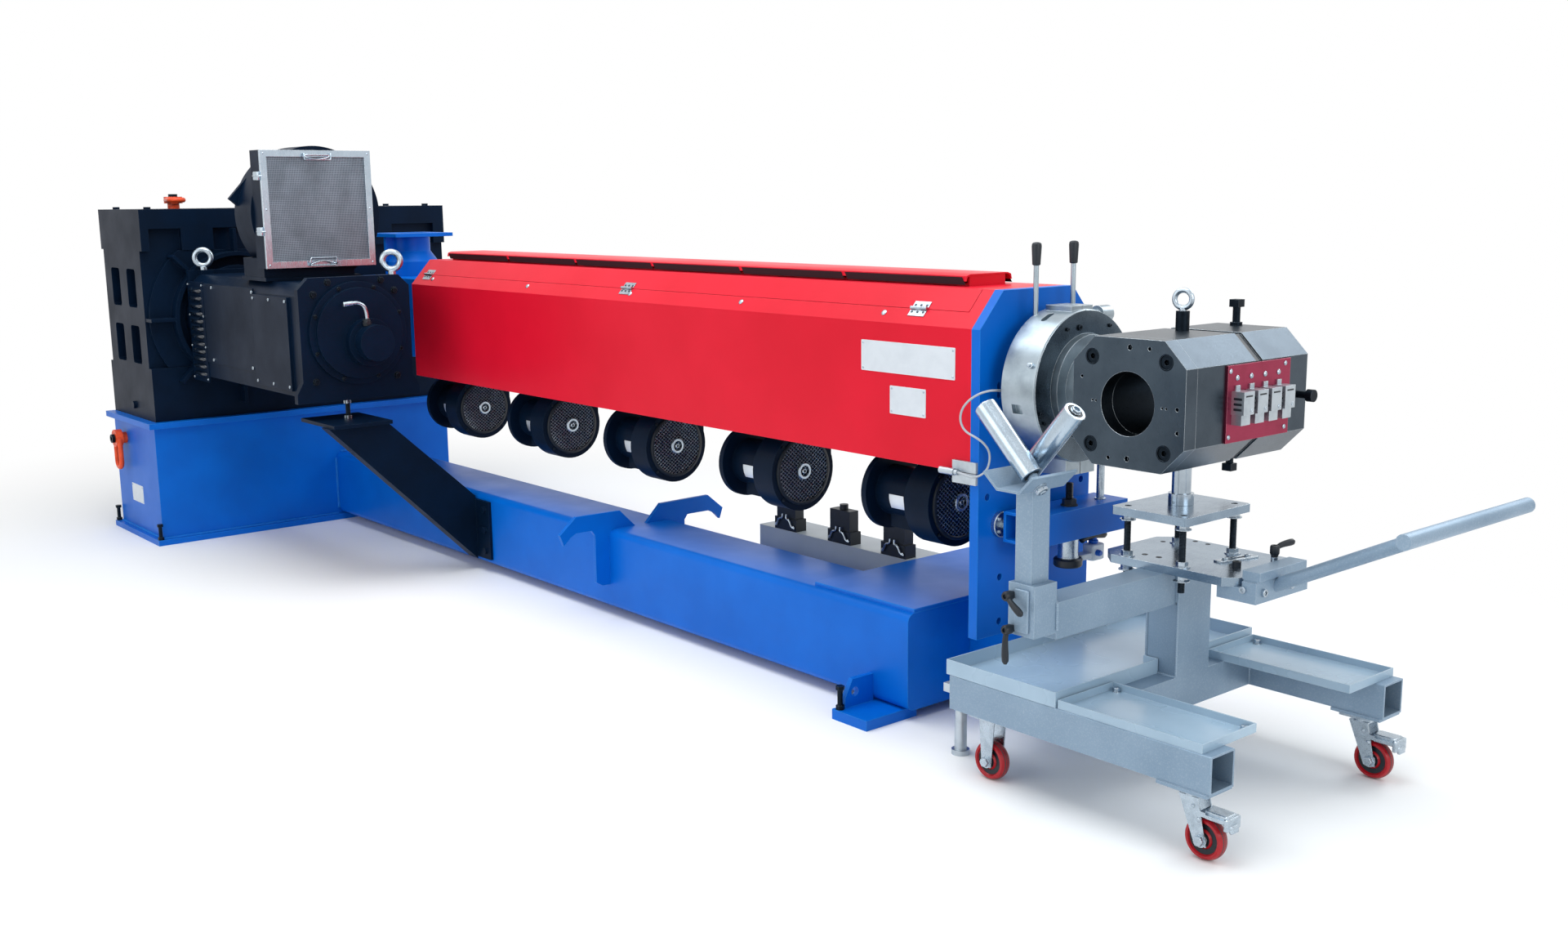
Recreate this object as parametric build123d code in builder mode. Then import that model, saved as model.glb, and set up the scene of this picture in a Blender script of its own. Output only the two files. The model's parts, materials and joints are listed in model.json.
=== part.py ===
from build123d import *
import math
import os

os.makedirs("parts", exist_ok=True)

# Axes, in millimetres: X runs along the barrel towards the crosshead, Y across, Z up.
# The front plate's front face is x = 0, the barrel's axis is y = 0 and the floor is z = 0.
# The near side is -Y, the far side is +Y.

# Barrel line
centre_height = 1000
barrel_radius = 100
barrel_bore = 60
barrel_head_radius = 165
barrel_head_length = 45

# Front plate
plate_thick = 31
plate_half = 234
plate_foot = 306
fold_rise = 156
roof_rise = 256
roof_half = 144

# Red barrel cover
cover_rear = -3261
cover_drop = 234
sheet = 3
lid_gap = 2
seam_share = 0.4
lid_rear_margin = 30
lid_front_margin = 43
lip_width = 22
lip_overlap = 12
body_gap = 0.3
hinge_radius = 5
hinge_length = 62
hinge_leaf = 20
hinge_places = (-3167, -1691, -260)
vent_half = 96
vent_curb_half = 74
vent_height = 34
vent_cap = 4
vent_drop = 16
vent_front_margin = 115
vent_bays = 6

# Base beam
beam_rear = -4140
beam_front = -264
beam_near = -236
beam_far = 45
beam_bottom = 31
beam_top = 323
beam_edge = 26
pad_rear = -696
pad_thick = 12
pad_near = -211
cross_box_far = 484
hook_place = -1814
hook_thick = 14
foot_rear = -434
foot_length = 147
foot_reach = 142
foot_under = 60
foot_lug_height = 84

# Stand behind the front plate
stand_near = 25
stand_far = 225
stand_drop = 97
stand_flange_thick = 30
stand_flange_near = -195

# Gearbox pedestal
pedestal_length = 560
pedestal_near = -1070
pedestal_far = 355
pedestal_top = 549
pedestal_plate = 25
pedestal_lip = 28
jack_bolt_radius = 8
jack_bolt_head = 13

# Gearbox
gearbox_rear = -4725
gearbox_front = -4155
gearbox_near = -1055
gearbox_far = 397
gearbox_rise = 480
gearbox_band = 180
gearbox_foot_band = 237
gearbox_recess = 30
slot_depth = 60

# Motor
motor_centre = -660
motor_rear = -4100
motor_front = -2895
motor_half = 228
motor_drop = 240
motor_rise = 195
motor_edge = 45
end_plate = 30
end_cover_radius = 200
end_cover_thick = 34
encoder_radius = 92
encoder_length = 96
lantern_flange_radius = 395
lantern_radius = 290
lantern_ribs = 8
louvre_rear = -4085
louvre_length = 180
louvre_rises = (135, 105, 75, 45, 15, -15, -60, -94, -129, -163, -198, -232)
louvre_margin = 40
side_panel_rear = -3900
side_panel_length = 560
side_panel_drop = 174
side_panel_rise = 165
side_panel_thick = 5
front_panel_thick = 12

# Motor cooling fan and its filter
volute_radius = 272
volute_rear = -3450
volute_width = 172
volute_side = 32
volute_rise = 261
filter_front = -3177
filter_depth = 100
filter_half = 229
filter_rise = 52
filter_tall = 460
filter_frame = 26
filter_frame_thick = 12

# Strut under the motor
strut_web_face = -2765
strut_flange = 75
strut_wall = 10
strut_plate_thick = 14
strut_gap = 97
strut_reach = 145

# Feed throat
throat_centre = -3720
throat_half = 120
throat_flange_half = 140
throat_flange_thick = 16
throat_rise = 361
throat_neck_radius = 86
throat_foot_radius = 118
throat_foot_rise = 235
throat_flare = 45
throat_bore = 75
feed_body_half = 170

# Barrel cooling blowers
blower_count = 5
blower_first = -3272
blower_pitch = 690
blower_side = -70
blower_drop = 363
blower_radius = 130
blower_length = 290
blower_scroll_width = 96
blower_motor_radius = 76
blower_rear_radius = 118
blower_rear_thick = 20
jacket_radius = 168
jacket_length = 400
jacket_offset = 72
duct_width = 110

# Clamp ring at the barrel's end
ring_start = 45
ring_length = 120
ring_radius = 205
ring_inner = 142
ring_split = 3
handle_side = 77
handle_place = 9
handle_rise = 382
grip_length = 61
neck_flange_radius = 140
neck_flange_thick = 20
neck_radius = 105

# Crosshead
head_start = 289
head_length = 336
head_near = -202
head_far = 320
head_half = 161
head_chamfer = 64
head_bore = 80
end_cap_thick = 45
head_groove_near = 85
head_groove_width = 30
head_groove_depth = 5
head_bolt_offset = 110
head_bolt_radius = 17
head_hole_depth = 12
head_holes = (
    (3, 139, 6.7),
    (61, 139, 5),
    (-141, 58, 4),
    (-107, 1, 3),
    (-96, 0, 3),
    (102, -1, 3),
    (114, -1, 3),
    (145, 0, 5),
    (147, -57, 5),
    (-54, -139, 5),
    (3, -136, 7),
)
eye_collar_radius = 17.5
eye_collar_height = 50
eye_ring_radius = 22.5
eye_bar_radius = 7
eye_turn = 15
connector_plate_near = -40
connector_plate_far = 232
connector_plate_drop = 97
connector_plate_rise = 94
connector_plate_thick = 6
connector_count = 4
connector_pitch = 60
connector_side = 89
connector_half = 22
connector_drop = 26
connector_rise = 31

# Support under the crosshead
support_radius = 25
support_side = 62
support_drop = 289
jack_plate_thick = 22
jack_plate_length = 230
jack_plate_width = 281
jack_gap = 133
table_thick = 22
table_rear = 275
table_front = 700
table_near = -70
table_far = 230
jack_screw_radius = 9
jack_nut_radius = 15.5

# Trolley
trolley_half = 423
tube = 92
tube_wall = 5
trolley_rear = 80
trolley_front = 881
frame_bottom = 176
column_rear = 395
column_length = 95
column_near = -8
column_far = 135
arm_rear = 405
arm_width = 80
arm_height = 90
socket_near = -567
socket_drop = 96
socket_rise = 30
socket_wall = 8
post_length = 50
post_width = 62
post_offset = 36
post_drop = 167
post_clearance = 0.5
tray_sheet = 3
large_tray_rear = 68
large_tray_front = 435
large_tray_rim = 40
small_tray_rear = 440
small_tray_front = 855
small_tray_rim = 22
small_tray_width = 214
spacer_length = 137

# Guide rollers in a V
roller_radius = 27
roller_length = 206
roller_side_gap = 6
roller_axle_radius = 8
near_lean = 45
near_place = 12
near_start = 30
far_lean = 41
far_place = 23
far_start = 12
valley_half = 32
wing_length = 55
wing_near = -90
wing_far = 68
wing_thick = 6

# Wheels
wheel_radius = 52
wheel_width = 32
wheel_hub_radius = 20
axle_radius = 8
axle_clearance = 0.05
caster_side = 372
fork_gap = 5
fork_wall = 3
swivel_place = 806
swivel_trail = 36
fixed_place = 187
caster_plate_thick = 6
caster_plate_half = 44

# Pull handle
pull_radius = 18
pull_stem_radius = 17
pull_side = 40
pull_reach = 505
pull_drop = 33
pull_rise = 209
pull_near = -250
pull_far = 320
block_near = -51
block_far = 179
block_drop = 35

# Junction box behind the beam
box_rear = -1469
box_near = 200
box_depth = 150
box_height = 150
box_top = 333
box_connector_places = (144, 429, 694)
box_connector_height = 116

# Arm in front of the plate
bracket_start = 30
bracket_width = 120
bracket_near = -165
bracket_far = 220
bracket_drop = 423
bracket_height = 85
bracket_wall = 8

# Sensor cable, its plug and the plug's bracket at the plate's near edge
cable_radius = 3
sensor_bracket_rear = -88
sensor_bracket_front = -2
sensor_bracket_thick = 10
sensor_bracket_height = 60
sensor_plug_radius = 10
sensor_plug_length = 64
sensor_plug_drop = 232
sensor_plug_y = -plate_half - sensor_bracket_thick - sensor_plug_radius - 0.2
cable_slot = (-155, centre_height - 12)
cable_bends = (
    (-12, -154, -12),
    (9, -155, -12),
    (23, -171, -10),
    (29, -195, -6),
    (26, -223, -4),
    (12, -248, -11),
    (-14, -261, -30),
    (-40, -261, -58),
    (-48, -258, -90),
    (-30, -257, -117),
    (6, -250, -130),
    (17, -231, -147),
    (20, -214, -170),
    (18, -210, -197),
    (15, -218, -221),
    (10, -240, -235),
    (-7, -254, -239),
    (-26, -256, -236),
    (-43, sensor_plug_y, -sensor_plug_drop),
    (-58, sensor_plug_y, -sensor_plug_drop),
)

# Worked out from the sizes above
plate_rear = -plate_thick
fold_height = centre_height + fold_rise
roof_height = centre_height + roof_rise
cover_bottom = centre_height - cover_drop
blower_height = centre_height - blower_drop
stand_top = blower_height - stand_drop
gearbox_top = centre_height + gearbox_rise
motor_height = centre_height
motor_bottom = centre_height - motor_drop
motor_top = centre_height + motor_rise
volute_centre_height = motor_top + volute_rise
filter_bottom = motor_top + filter_rise
filter_top = filter_bottom + filter_tall
strut_top = motor_bottom - strut_gap
throat_top = centre_height + throat_rise
handle_top = centre_height + handle_rise
connector_plate_bottom = centre_height - connector_plate_drop
connector_plate_top = centre_height + connector_plate_rise
jack_top = centre_height - support_drop
table_top = jack_top - jack_gap
socket_bottom = table_top - socket_drop
socket_top = table_top + socket_rise
post_top = centre_height - post_drop
pull_foot = (table_front + 16, pull_side, table_top - pull_drop)
pull_end = (table_front + pull_reach, pull_side, table_top + pull_rise)
bracket_bottom = centre_height - bracket_drop
sensor_plug_z = centre_height - sensor_plug_drop
cable_route = tuple((x, y, centre_height + z) for x, y, z in cable_bends)
eye_rise = eye_collar_height + eye_ring_radius + eye_bar_radius + 0.5
pedestal_rear = beam_rear - pedestal_length
lid_rear = cover_rear + lid_rear_margin
lid_front = plate_rear - lid_front_margin
seam_y = plate_half - seam_share * (plate_half - roof_half)
seam_z = fold_height + seam_share * (roof_height - fold_height)
chamfer_run = plate_half - roof_half
chamfer_rise = roof_height - fold_height
chamfer_length = math.hypot(chamfer_run, chamfer_rise)
chamfer_out = (chamfer_rise / chamfer_length, chamfer_run / chamfer_length)
roof_turn = math.atan2(chamfer_rise, chamfer_run)
roof_miter = math.tan(roof_turn / 2)
fold_miter = math.tan((math.pi / 2 - roof_turn) / 2)
hinge_y = -seam_y - hinge_radius * chamfer_out[0]
hinge_z = seam_z + hinge_radius * chamfer_out[1]
frame_top = frame_bottom + tube
head_centre = head_start + head_length / 2
post_x = arm_rear + post_offset
post_y = socket_near + arm_width / 2


def block(x, y, z, mode=Mode.ADD):
    """A box between the two ends given along each axis."""
    with Locations(((x[0] + x[1]) / 2, (y[0] + y[1]) / 2, (z[0] + z[1]) / 2)):
        Box(x[1] - x[0], y[1] - y[0], z[1] - z[0], mode=mode)


def facing_x(x, y=0.0, z=0.0):
    """A plane whose normal is +X, with its own X along +Y and its own Y along +Z."""
    return Plane(origin=(x, y, z), x_dir=(0, 1, 0), z_dir=(1, 0, 0))


def facing_near(y, x=0.0, z=0.0):
    """A plane whose normal is -Y, with its own X along +X and its own Y along +Z."""
    return Plane(origin=(x, y, z), x_dir=(1, 0, 0), z_dir=(0, -1, 0))


def bar(plane, radius, length, mode=Mode.ADD):
    """A round bar that starts on the plane and runs along its normal."""
    with Locations(plane):
        Cylinder(radius, length, align=(Align.CENTER, Align.CENTER, Align.MIN), mode=mode)


def hexagon(plane, radius, length):
    """A nut or a bolt's head that starts on the plane and runs along its normal."""
    with BuildSketch(plane) as outline:
        RegularPolygon(radius, 6)
    extrude(outline.sketch, amount=length)


# Front plate, with the slot that the sensor cable comes out of
plate_bolt_places = ((-144, 469), (144, 469), (-144, 343), (144, 343), (-198, 700), (198, 700))
with BuildPart() as front_plate:
    with BuildSketch(facing_x(plate_rear)):
        with BuildLine():
            Polyline(
                (-plate_half, plate_foot),
                (plate_half, plate_foot),
                (plate_half, fold_height),
                (roof_half, roof_height),
                (-roof_half, roof_height),
                (-plate_half, fold_height),
                close=True,
            )
        make_face()
        with Locations((0, centre_height)):
            Circle(barrel_radius + body_gap, mode=Mode.SUBTRACT)
        with Locations(cable_slot):
            SlotOverall(46, 18, rotation=90, mode=Mode.SUBTRACT)
        with Locations(*plate_bolt_places):
            Circle(10, mode=Mode.SUBTRACT)
    extrude(amount=plate_thick)
front_plate.part.label = "front_plate"
export_step(front_plate.part, "parts/front_plate.step")


# Red cover: a folded sheet, open below, with the lid's opening cut through its roof
def cover_outline(inset):
    """The cover's section, drawn in from the outer face by the inset."""
    return Polyline(
        (-plate_half + inset, cover_bottom),
        (plate_half - inset, cover_bottom),
        (plate_half - inset, fold_height - inset * fold_miter),
        (roof_half - inset * roof_miter, roof_height - inset),
        (-roof_half + inset * roof_miter, roof_height - inset),
        (-plate_half + inset, fold_height - inset * fold_miter),
        close=True,
    )


with BuildPart() as barrel_cover:
    with BuildSketch(facing_x(cover_rear)) as cover_section:
        with BuildLine():
            cover_outline(0)
        make_face()
    extrude(amount=plate_rear - cover_rear)
    with BuildSketch(facing_x(cover_rear + sheet)) as cover_inside:
        with BuildLine():
            cover_outline(sheet)
        make_face()
    extrude(amount=plate_rear - cover_rear - sheet, mode=Mode.SUBTRACT)
    block((cover_rear + sheet, plate_rear), (-plate_half + sheet, plate_half - sheet),
          (cover_bottom - 1, cover_bottom + 1), mode=Mode.SUBTRACT)
    with BuildSketch(facing_x(lid_rear)) as opening:
        with BuildLine():
            deep = 2 * sheet
            Polyline(
                (seam_y - deep * chamfer_out[0], seam_z - deep * chamfer_out[1]),
                (seam_y + deep * chamfer_out[0], seam_z + deep * chamfer_out[1]),
                (roof_half, roof_height + 2 * deep),
                (-roof_half, roof_height + 2 * deep),
                (-seam_y - deep * chamfer_out[0], seam_z + deep * chamfer_out[1]),
                (-seam_y + deep * chamfer_out[0], seam_z - deep * chamfer_out[1]),
                close=True,
            )
        make_face()
    extrude(opening.sketch, amount=lid_front - lid_rear, mode=Mode.SUBTRACT)
    bar(facing_x(cover_rear - 1, 0, centre_height), barrel_head_radius, sheet + 2, mode=Mode.SUBTRACT)
    # Lips inside the opening that the lid lies on
    for side in (-1, 1):
        with BuildSketch(facing_x(lid_rear - lip_overlap)) as lip:
            with BuildLine():
                out_y = side * chamfer_out[0]
                out_z = chamfer_out[1]
                along_y = -side * chamfer_run / chamfer_length
                along_z = chamfer_rise / chamfer_length
                start_y = side * seam_y - out_y * sheet - along_y * lip_width / 2
                start_z = seam_z - out_z * sheet - along_z * lip_width / 2
                Polyline(
                    (start_y, start_z),
                    (start_y + along_y * lip_width, start_z + along_z * lip_width),
                    (start_y + along_y * lip_width - out_y * sheet,
                     start_z + along_z * lip_width - out_z * sheet),
                    (start_y - out_y * sheet, start_z - out_z * sheet),
                    close=True,
                )
            make_face()
        extrude(lip.sketch, amount=lid_front - lid_rear + 2 * lip_overlap)
barrel_cover.part.label = "barrel_cover"
export_step(barrel_cover.part, "parts/barrel_cover.step")


# Lid: the folded roof between the two seams, hinged along the near one
lid_sheet = sheet - body_gap
with BuildPart() as cover_lid:
    with BuildSketch(facing_x(lid_rear + lid_gap)):
        with BuildLine():
            near_y = -seam_y + lid_gap * chamfer_run / chamfer_length
            near_z = seam_z + lid_gap * chamfer_rise / chamfer_length
            drop = lid_sheet * roof_miter
            Polyline(
                (near_y, near_z),
                (-roof_half, roof_height),
                (roof_half, roof_height),
                (-near_y, near_z),
                (-near_y - lid_sheet * chamfer_out[0], near_z - lid_sheet * chamfer_out[1]),
                (roof_half - drop, roof_height - lid_sheet),
                (-roof_half + drop, roof_height - lid_sheet),
                (near_y + lid_sheet * chamfer_out[0], near_z - lid_sheet * chamfer_out[1]),
                close=True,
            )
        make_face()
    extrude(amount=lid_front - lid_rear - 2 * lid_gap)
cover_lid.part.label = "cover_lid"
export_step(cover_lid.part, "parts/cover_lid.step")

# Raised vent along the lid: a curb, the posts between its openings and a cap
vent_rear = lid_rear + 2 * lip_width
vent_front = lid_front - vent_front_margin
vent_pitch = (vent_front - vent_rear) / vent_bays
cap_bottom = roof_height + vent_height - vent_cap
with BuildPart() as lid_vent:
    block((vent_rear, vent_front), (-vent_curb_half, vent_curb_half), (roof_height, roof_height + 8))
    for bay in range(vent_bays + 1):
        post = vent_rear + bay * vent_pitch
        low = max(vent_rear, post - 8)
        high = min(vent_front, post + 8)
        block((low, high), (-vent_curb_half, vent_curb_half), (roof_height + 8, cap_bottom))
    with BuildSketch(facing_x(vent_rear - 6)) as cap:
        with BuildLine():
            Polyline(
                (-vent_half, cap_bottom - vent_drop),
                (-vent_half + vent_cap, cap_bottom - vent_drop),
                (-vent_half + 7, cap_bottom - 5),
                (-vent_half + 18, cap_bottom),
                (vent_half - 18, cap_bottom),
                (vent_half - 7, cap_bottom - 5),
                (vent_half - vent_cap, cap_bottom - vent_drop),
                (vent_half, cap_bottom - vent_drop),
                (vent_half - 4, cap_bottom - 1),
                (vent_half - 18, cap_bottom + vent_cap),
                (-vent_half + 18, cap_bottom + vent_cap),
                (-vent_half + 4, cap_bottom - 1),
                close=True,
            )
        make_face()
    extrude(amount=vent_front - vent_rear + 12)
lid_vent.part.label = "lid_vent"
export_step(lid_vent.part, "parts/lid_vent.step")


# Hinges on the near seam: the cover's leaf carries the middle knuckle, the lid's leaf the outer two
def hinge_leaf_block(place, direction, length):
    """One leaf of a hinge, lying on the chamfer from the seam up or down."""
    plane = Plane(
        origin=(place, -seam_y, seam_z),
        x_dir=(1, 0, 0),
        z_dir=(0, -chamfer_out[0], chamfer_out[1]),
    )
    with Locations(plane):
        with Locations((0, direction * (hinge_leaf / 2 + hinge_radius + 0.6), 1.2)):
            Box(length, hinge_leaf, 2.0)


knuckle = hinge_length / 3
with BuildPart() as cover_hinges:
    for place in hinge_places:
        hinge_leaf_block(place, -1, hinge_length)
        bar(facing_x(place - knuckle / 2 + body_gap, hinge_y, hinge_z), hinge_radius,
            knuckle - 2 * body_gap)
        plane = Plane(origin=(place, -seam_y, seam_z), x_dir=(1, 0, 0),
                      z_dir=(0, -chamfer_out[0], chamfer_out[1]))
        with Locations(plane):
            with Locations((0, -hinge_radius / 2 - 0.6, 1.6)):
                Box(knuckle - 2 * body_gap, hinge_radius + 1.6, 2.8)
cover_hinges.part.label = "cover_hinges"
export_step(cover_hinges.part, "parts/cover_hinges.step")

with BuildPart() as lid_hinges:
    for place in hinge_places:
        hinge_leaf_block(place, 1, hinge_length)
        for side in (-1, 1):
            bar(facing_x(place + side * knuckle - knuckle / 2, hinge_y, hinge_z), hinge_radius, knuckle)
            plane = Plane(origin=(place, -seam_y, seam_z), x_dir=(1, 0, 0),
                          z_dir=(0, -chamfer_out[0], chamfer_out[1]))
            with Locations(plane):
                with Locations((side * knuckle, hinge_radius / 2 + 0.6, 1.6)):
                    Box(knuckle, hinge_radius + 1.6, 2.8)
lid_hinges.part.label = "lid_hinges"
export_step(lid_hinges.part, "parts/lid_hinges.step")

# Main beam, with its rounded long edges
beam_centre = (beam_near + beam_far) / 2
with BuildPart() as main_beam:
    block((beam_rear, beam_front), (beam_near, beam_far), (beam_bottom, beam_top))
    fillet(main_beam.edges().filter_by(Axis.X), radius=beam_edge)
main_beam.part.label = "main_beam"
export_step(main_beam.part, "parts/main_beam.step")

# Front base: a cross box beside the beam's end with a pad over both, two feet with lifting lugs
# and the stand that carries the front plate
foot_front = foot_rear + foot_length
stand_flange_rear = plate_rear - stand_flange_thick
with BuildPart() as front_base:
    block((pad_rear, beam_front), (beam_far, cross_box_far), (beam_bottom, beam_top))
    block((pad_rear, beam_front), (pad_near, cross_box_far), (beam_top, beam_top + pad_thick))
    chamfer(front_base.edges().group_by(Axis.Z)[-1], length=2)
    for side, wall in ((-1, beam_near), (1, cross_box_far)):
        inner = wall - side * foot_under
        outer = wall + side * foot_reach
        block((foot_rear, foot_front), (min(inner, outer), max(inner, outer)), (0, beam_bottom))
        with BuildSketch(facing_x(foot_rear + 26)) as lug:
            with BuildLine():
                Polyline(
                    (wall, beam_bottom),
                    (wall + side * 114, beam_bottom),
                    (wall + side * 114, beam_bottom + 30),
                    (wall + side * 84, beam_bottom + foot_lug_height),
                    (wall, beam_bottom + foot_lug_height),
                    close=True,
                )
            make_face()
            with Locations((wall + side * 74, beam_bottom + 44)):
                Circle(14, mode=Mode.SUBTRACT)
        extrude(lug.sketch, amount=side * 16)
        with Locations((foot_rear + 20, wall + side * (foot_reach - 14), beam_bottom / 2)):
            Cylinder(jack_bolt_radius + body_gap, beam_bottom + 2, mode=Mode.SUBTRACT)
    block((beam_front, stand_flange_rear), (stand_near, stand_far), (beam_bottom, stand_top))
    block((stand_flange_rear, plate_rear), (stand_flange_near, stand_far), (plate_foot, stand_top))
front_base.part.label = "front_base"
export_step(front_base.part, "parts/front_base.step")


# Hooks welded on the beam's top and sides, for coiled hoses and cables
def hook_outline(wall, side, reach):
    """A hook's section: a foot on the beam, an arm that turns down at its tip and a leg down the side."""
    Polyline(
        (wall - side * beam_edge, beam_top),
        (wall - side * 115, beam_top),
        (wall - side * 49, beam_top + 65),
        (wall + side * (reach - 70), beam_top + 67),
        (wall + side * reach, beam_top + 9),
        (wall + side * (reach - 15), beam_top - 32),
        (wall + side * (reach - 43), beam_top - 5),
        (wall + side * (reach - 68), beam_top + 7),
        (wall + side * 74, beam_top + 7),
        (wall + side * 60, beam_top - 12),
        (wall + side * 60, beam_top - 188),
        (wall + side * 34, beam_top - 203),
        (wall, beam_top - 203),
        (wall, beam_top - beam_edge),
    )
    RadiusArc((wall, beam_top - beam_edge), (wall - side * beam_edge, beam_top), -side * beam_edge)


with BuildPart() as beam_hooks:
    for wall, side, reach in ((beam_near, -1, 207), (beam_far, 1, 242)):
        with BuildSketch(facing_x(hook_place)) as hook:
            with BuildLine():
                hook_outline(wall, side, reach)
            make_face()
        extrude(amount=hook_thick)
beam_hooks.part.label = "beam_hooks"
export_step(beam_hooks.part, "parts/beam_hooks.step")

# Gearbox pedestal: a box between a foot plate and a top flange
with BuildPart() as gearbox_pedestal:
    lip = pedestal_lip
    foot_size = ((pedestal_rear - lip, beam_rear + lip), (pedestal_near - lip, pedestal_far + lip))
    block((pedestal_rear, beam_rear), (pedestal_near, pedestal_far), (pedestal_plate, pedestal_top - pedestal_plate))
    block(foot_size[0], foot_size[1], (0, pedestal_plate))
    block(foot_size[0], foot_size[1], (pedestal_top - pedestal_plate, pedestal_top))
    block((beam_rear, beam_rear + lip + 1), (beam_near, beam_far), (beam_bottom, beam_top), mode=Mode.SUBTRACT)
    for x in (pedestal_rear - lip / 2, beam_rear + lip / 2):
        for y in (pedestal_near - lip / 2, pedestal_far + lip / 2):
            with Locations((x, y, pedestal_plate / 2)):
                Cylinder(jack_bolt_radius + body_gap, pedestal_plate + 2, mode=Mode.SUBTRACT)
gearbox_pedestal.part.label = "gearbox_pedestal"
export_step(gearbox_pedestal.part, "parts/gearbox_pedestal.step")

# Gearbox housing: two thicker bands with a recessed wall between them, and slots through the near end
band_bottom = gearbox_top - gearbox_band
foot_band_top = pedestal_top + gearbox_foot_band
with BuildPart() as gearbox_housing:
    block((gearbox_rear + gearbox_recess, gearbox_front - gearbox_recess), (gearbox_near, gearbox_far),
          (pedestal_top, gearbox_top))
    block((gearbox_rear, gearbox_front), (gearbox_near, gearbox_far), (band_bottom, gearbox_top))
    block((gearbox_rear, gearbox_front), (gearbox_near, gearbox_far), (pedestal_top, foot_band_top))
    with BuildSketch(facing_near(gearbox_near + slot_depth)) as slots:
        for x in (gearbox_rear + 178, gearbox_rear + 394):
            for z in (centre_height + 135, centre_height - 116):
                with Locations((x, z)):
                    RectangleRounded(116, 170, 16)
    extrude(slots.sketch, amount=slot_depth + 1, mode=Mode.SUBTRACT)
    pocket_depth = gearbox_recess
    for y_range in ((-1020, -880), (-740, -560), (120, 340)):
        block((gearbox_front - pocket_depth, gearbox_front + 1), y_range, (band_bottom - 1, band_bottom + 96),
              mode=Mode.SUBTRACT)
        block((gearbox_rear - 1, gearbox_rear + pocket_depth), y_range, (band_bottom - 1, band_bottom + 96),
              mode=Mode.SUBTRACT)
    bar(facing_near(gearbox_near, gearbox_rear + 305, pedestal_top + 55), 17, 12)
    for y in (gearbox_near + 60, gearbox_far - 60):
        for x in (gearbox_rear + 70, gearbox_front - 70):
            bar(Plane.XY.offset(gearbox_top).move(Location((x, y, 0))), 15, 10)
gearbox_housing.part.label = "gearbox_housing"
export_step(gearbox_housing.part, "parts/gearbox_housing.step")


# Lifting shackles: a swivelling eye on a bolt, on the pedestal's near end and on the gearbox's top
def shackle_bow(plane, half_width, drop, radius):
    """The bent bar of a shackle, drawn on a plane and hanging below its origin."""
    with BuildLine(plane) as path:
        Line((-half_width, 0), (-half_width, -drop))
        ThreePointArc((-half_width, -drop), (0, -drop - half_width), (half_width, -drop))
        Line((half_width, -drop), (half_width, 0))
    with BuildSketch(Plane(origin=path.line @ 0, z_dir=path.line % 0)) as bar_section:
        Circle(radius)
    sweep(bar_section.sketch, path=path.line)


shackle_place = (-4552, 440)
top_shackle = (-4492, -790)
with BuildPart() as lifting_shackles:
    bar(facing_near(pedestal_near, shackle_place[0], shackle_place[1]), 26, 22)
    bar(facing_near(pedestal_near - 22, shackle_place[0], shackle_place[1]), 40, 30)
    shackle_bow(facing_near(pedestal_near - 37, shackle_place[0], shackle_place[1]), 30, 105, 11)
    with Locations((top_shackle[0], top_shackle[1], gearbox_top)):
        Cylinder(26, 34, align=(Align.CENTER, Align.CENTER, Align.MIN))
    with Locations((top_shackle[0], top_shackle[1], gearbox_top + 24)):
        Cylinder(40, 30, align=(Align.CENTER, Align.CENTER, Align.MIN))
    shackle_bow(
        Plane(origin=(top_shackle[0], top_shackle[1], gearbox_top + 39), x_dir=(0.2, 0.98, 0), z_dir=(0, 0, 1)),
        30, 105, 11)
lifting_shackles.part.label = "lifting_shackles"
export_step(lifting_shackles.part, "parts/lifting_shackles.step")

# Lantern that carries the motor: a flange on the gearbox, a drum with radial ribs and windows
lantern_face = gearbox_front - gearbox_recess
lantern_plane = facing_x(lantern_face, motor_centre, motor_height)
lantern_depth = motor_rear - lantern_face
with BuildPart() as gearbox_lantern:
    bar(lantern_plane, lantern_flange_radius - 12, gearbox_recess - 4)
    bar(lantern_plane, lantern_radius, lantern_depth)
    with BuildSketch(lantern_plane) as ribs:
        with PolarLocations((lantern_radius + lantern_flange_radius) / 2 - 10, lantern_ribs):
            Rectangle(lantern_flange_radius - lantern_radius + 16, 14)
    extrude(ribs.sketch, amount=lantern_depth - 8)
    with BuildSketch(lantern_plane.offset(gearbox_recess)) as ring_recess:
        Circle(lantern_radius - 18)
        Circle(lantern_radius - 60, mode=Mode.SUBTRACT)
    extrude(ring_recess.sketch, amount=lantern_depth, mode=Mode.SUBTRACT)
    for z_range in ((pedestal_top, foot_band_top + 1), (band_bottom - 1, gearbox_top)):
        block((lantern_face - 1, gearbox_front + 1), (gearbox_near, gearbox_far), z_range, mode=Mode.SUBTRACT)
gearbox_lantern.part.label = "gearbox_lantern"
export_step(gearbox_lantern.part, "parts/gearbox_lantern.step")

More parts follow.
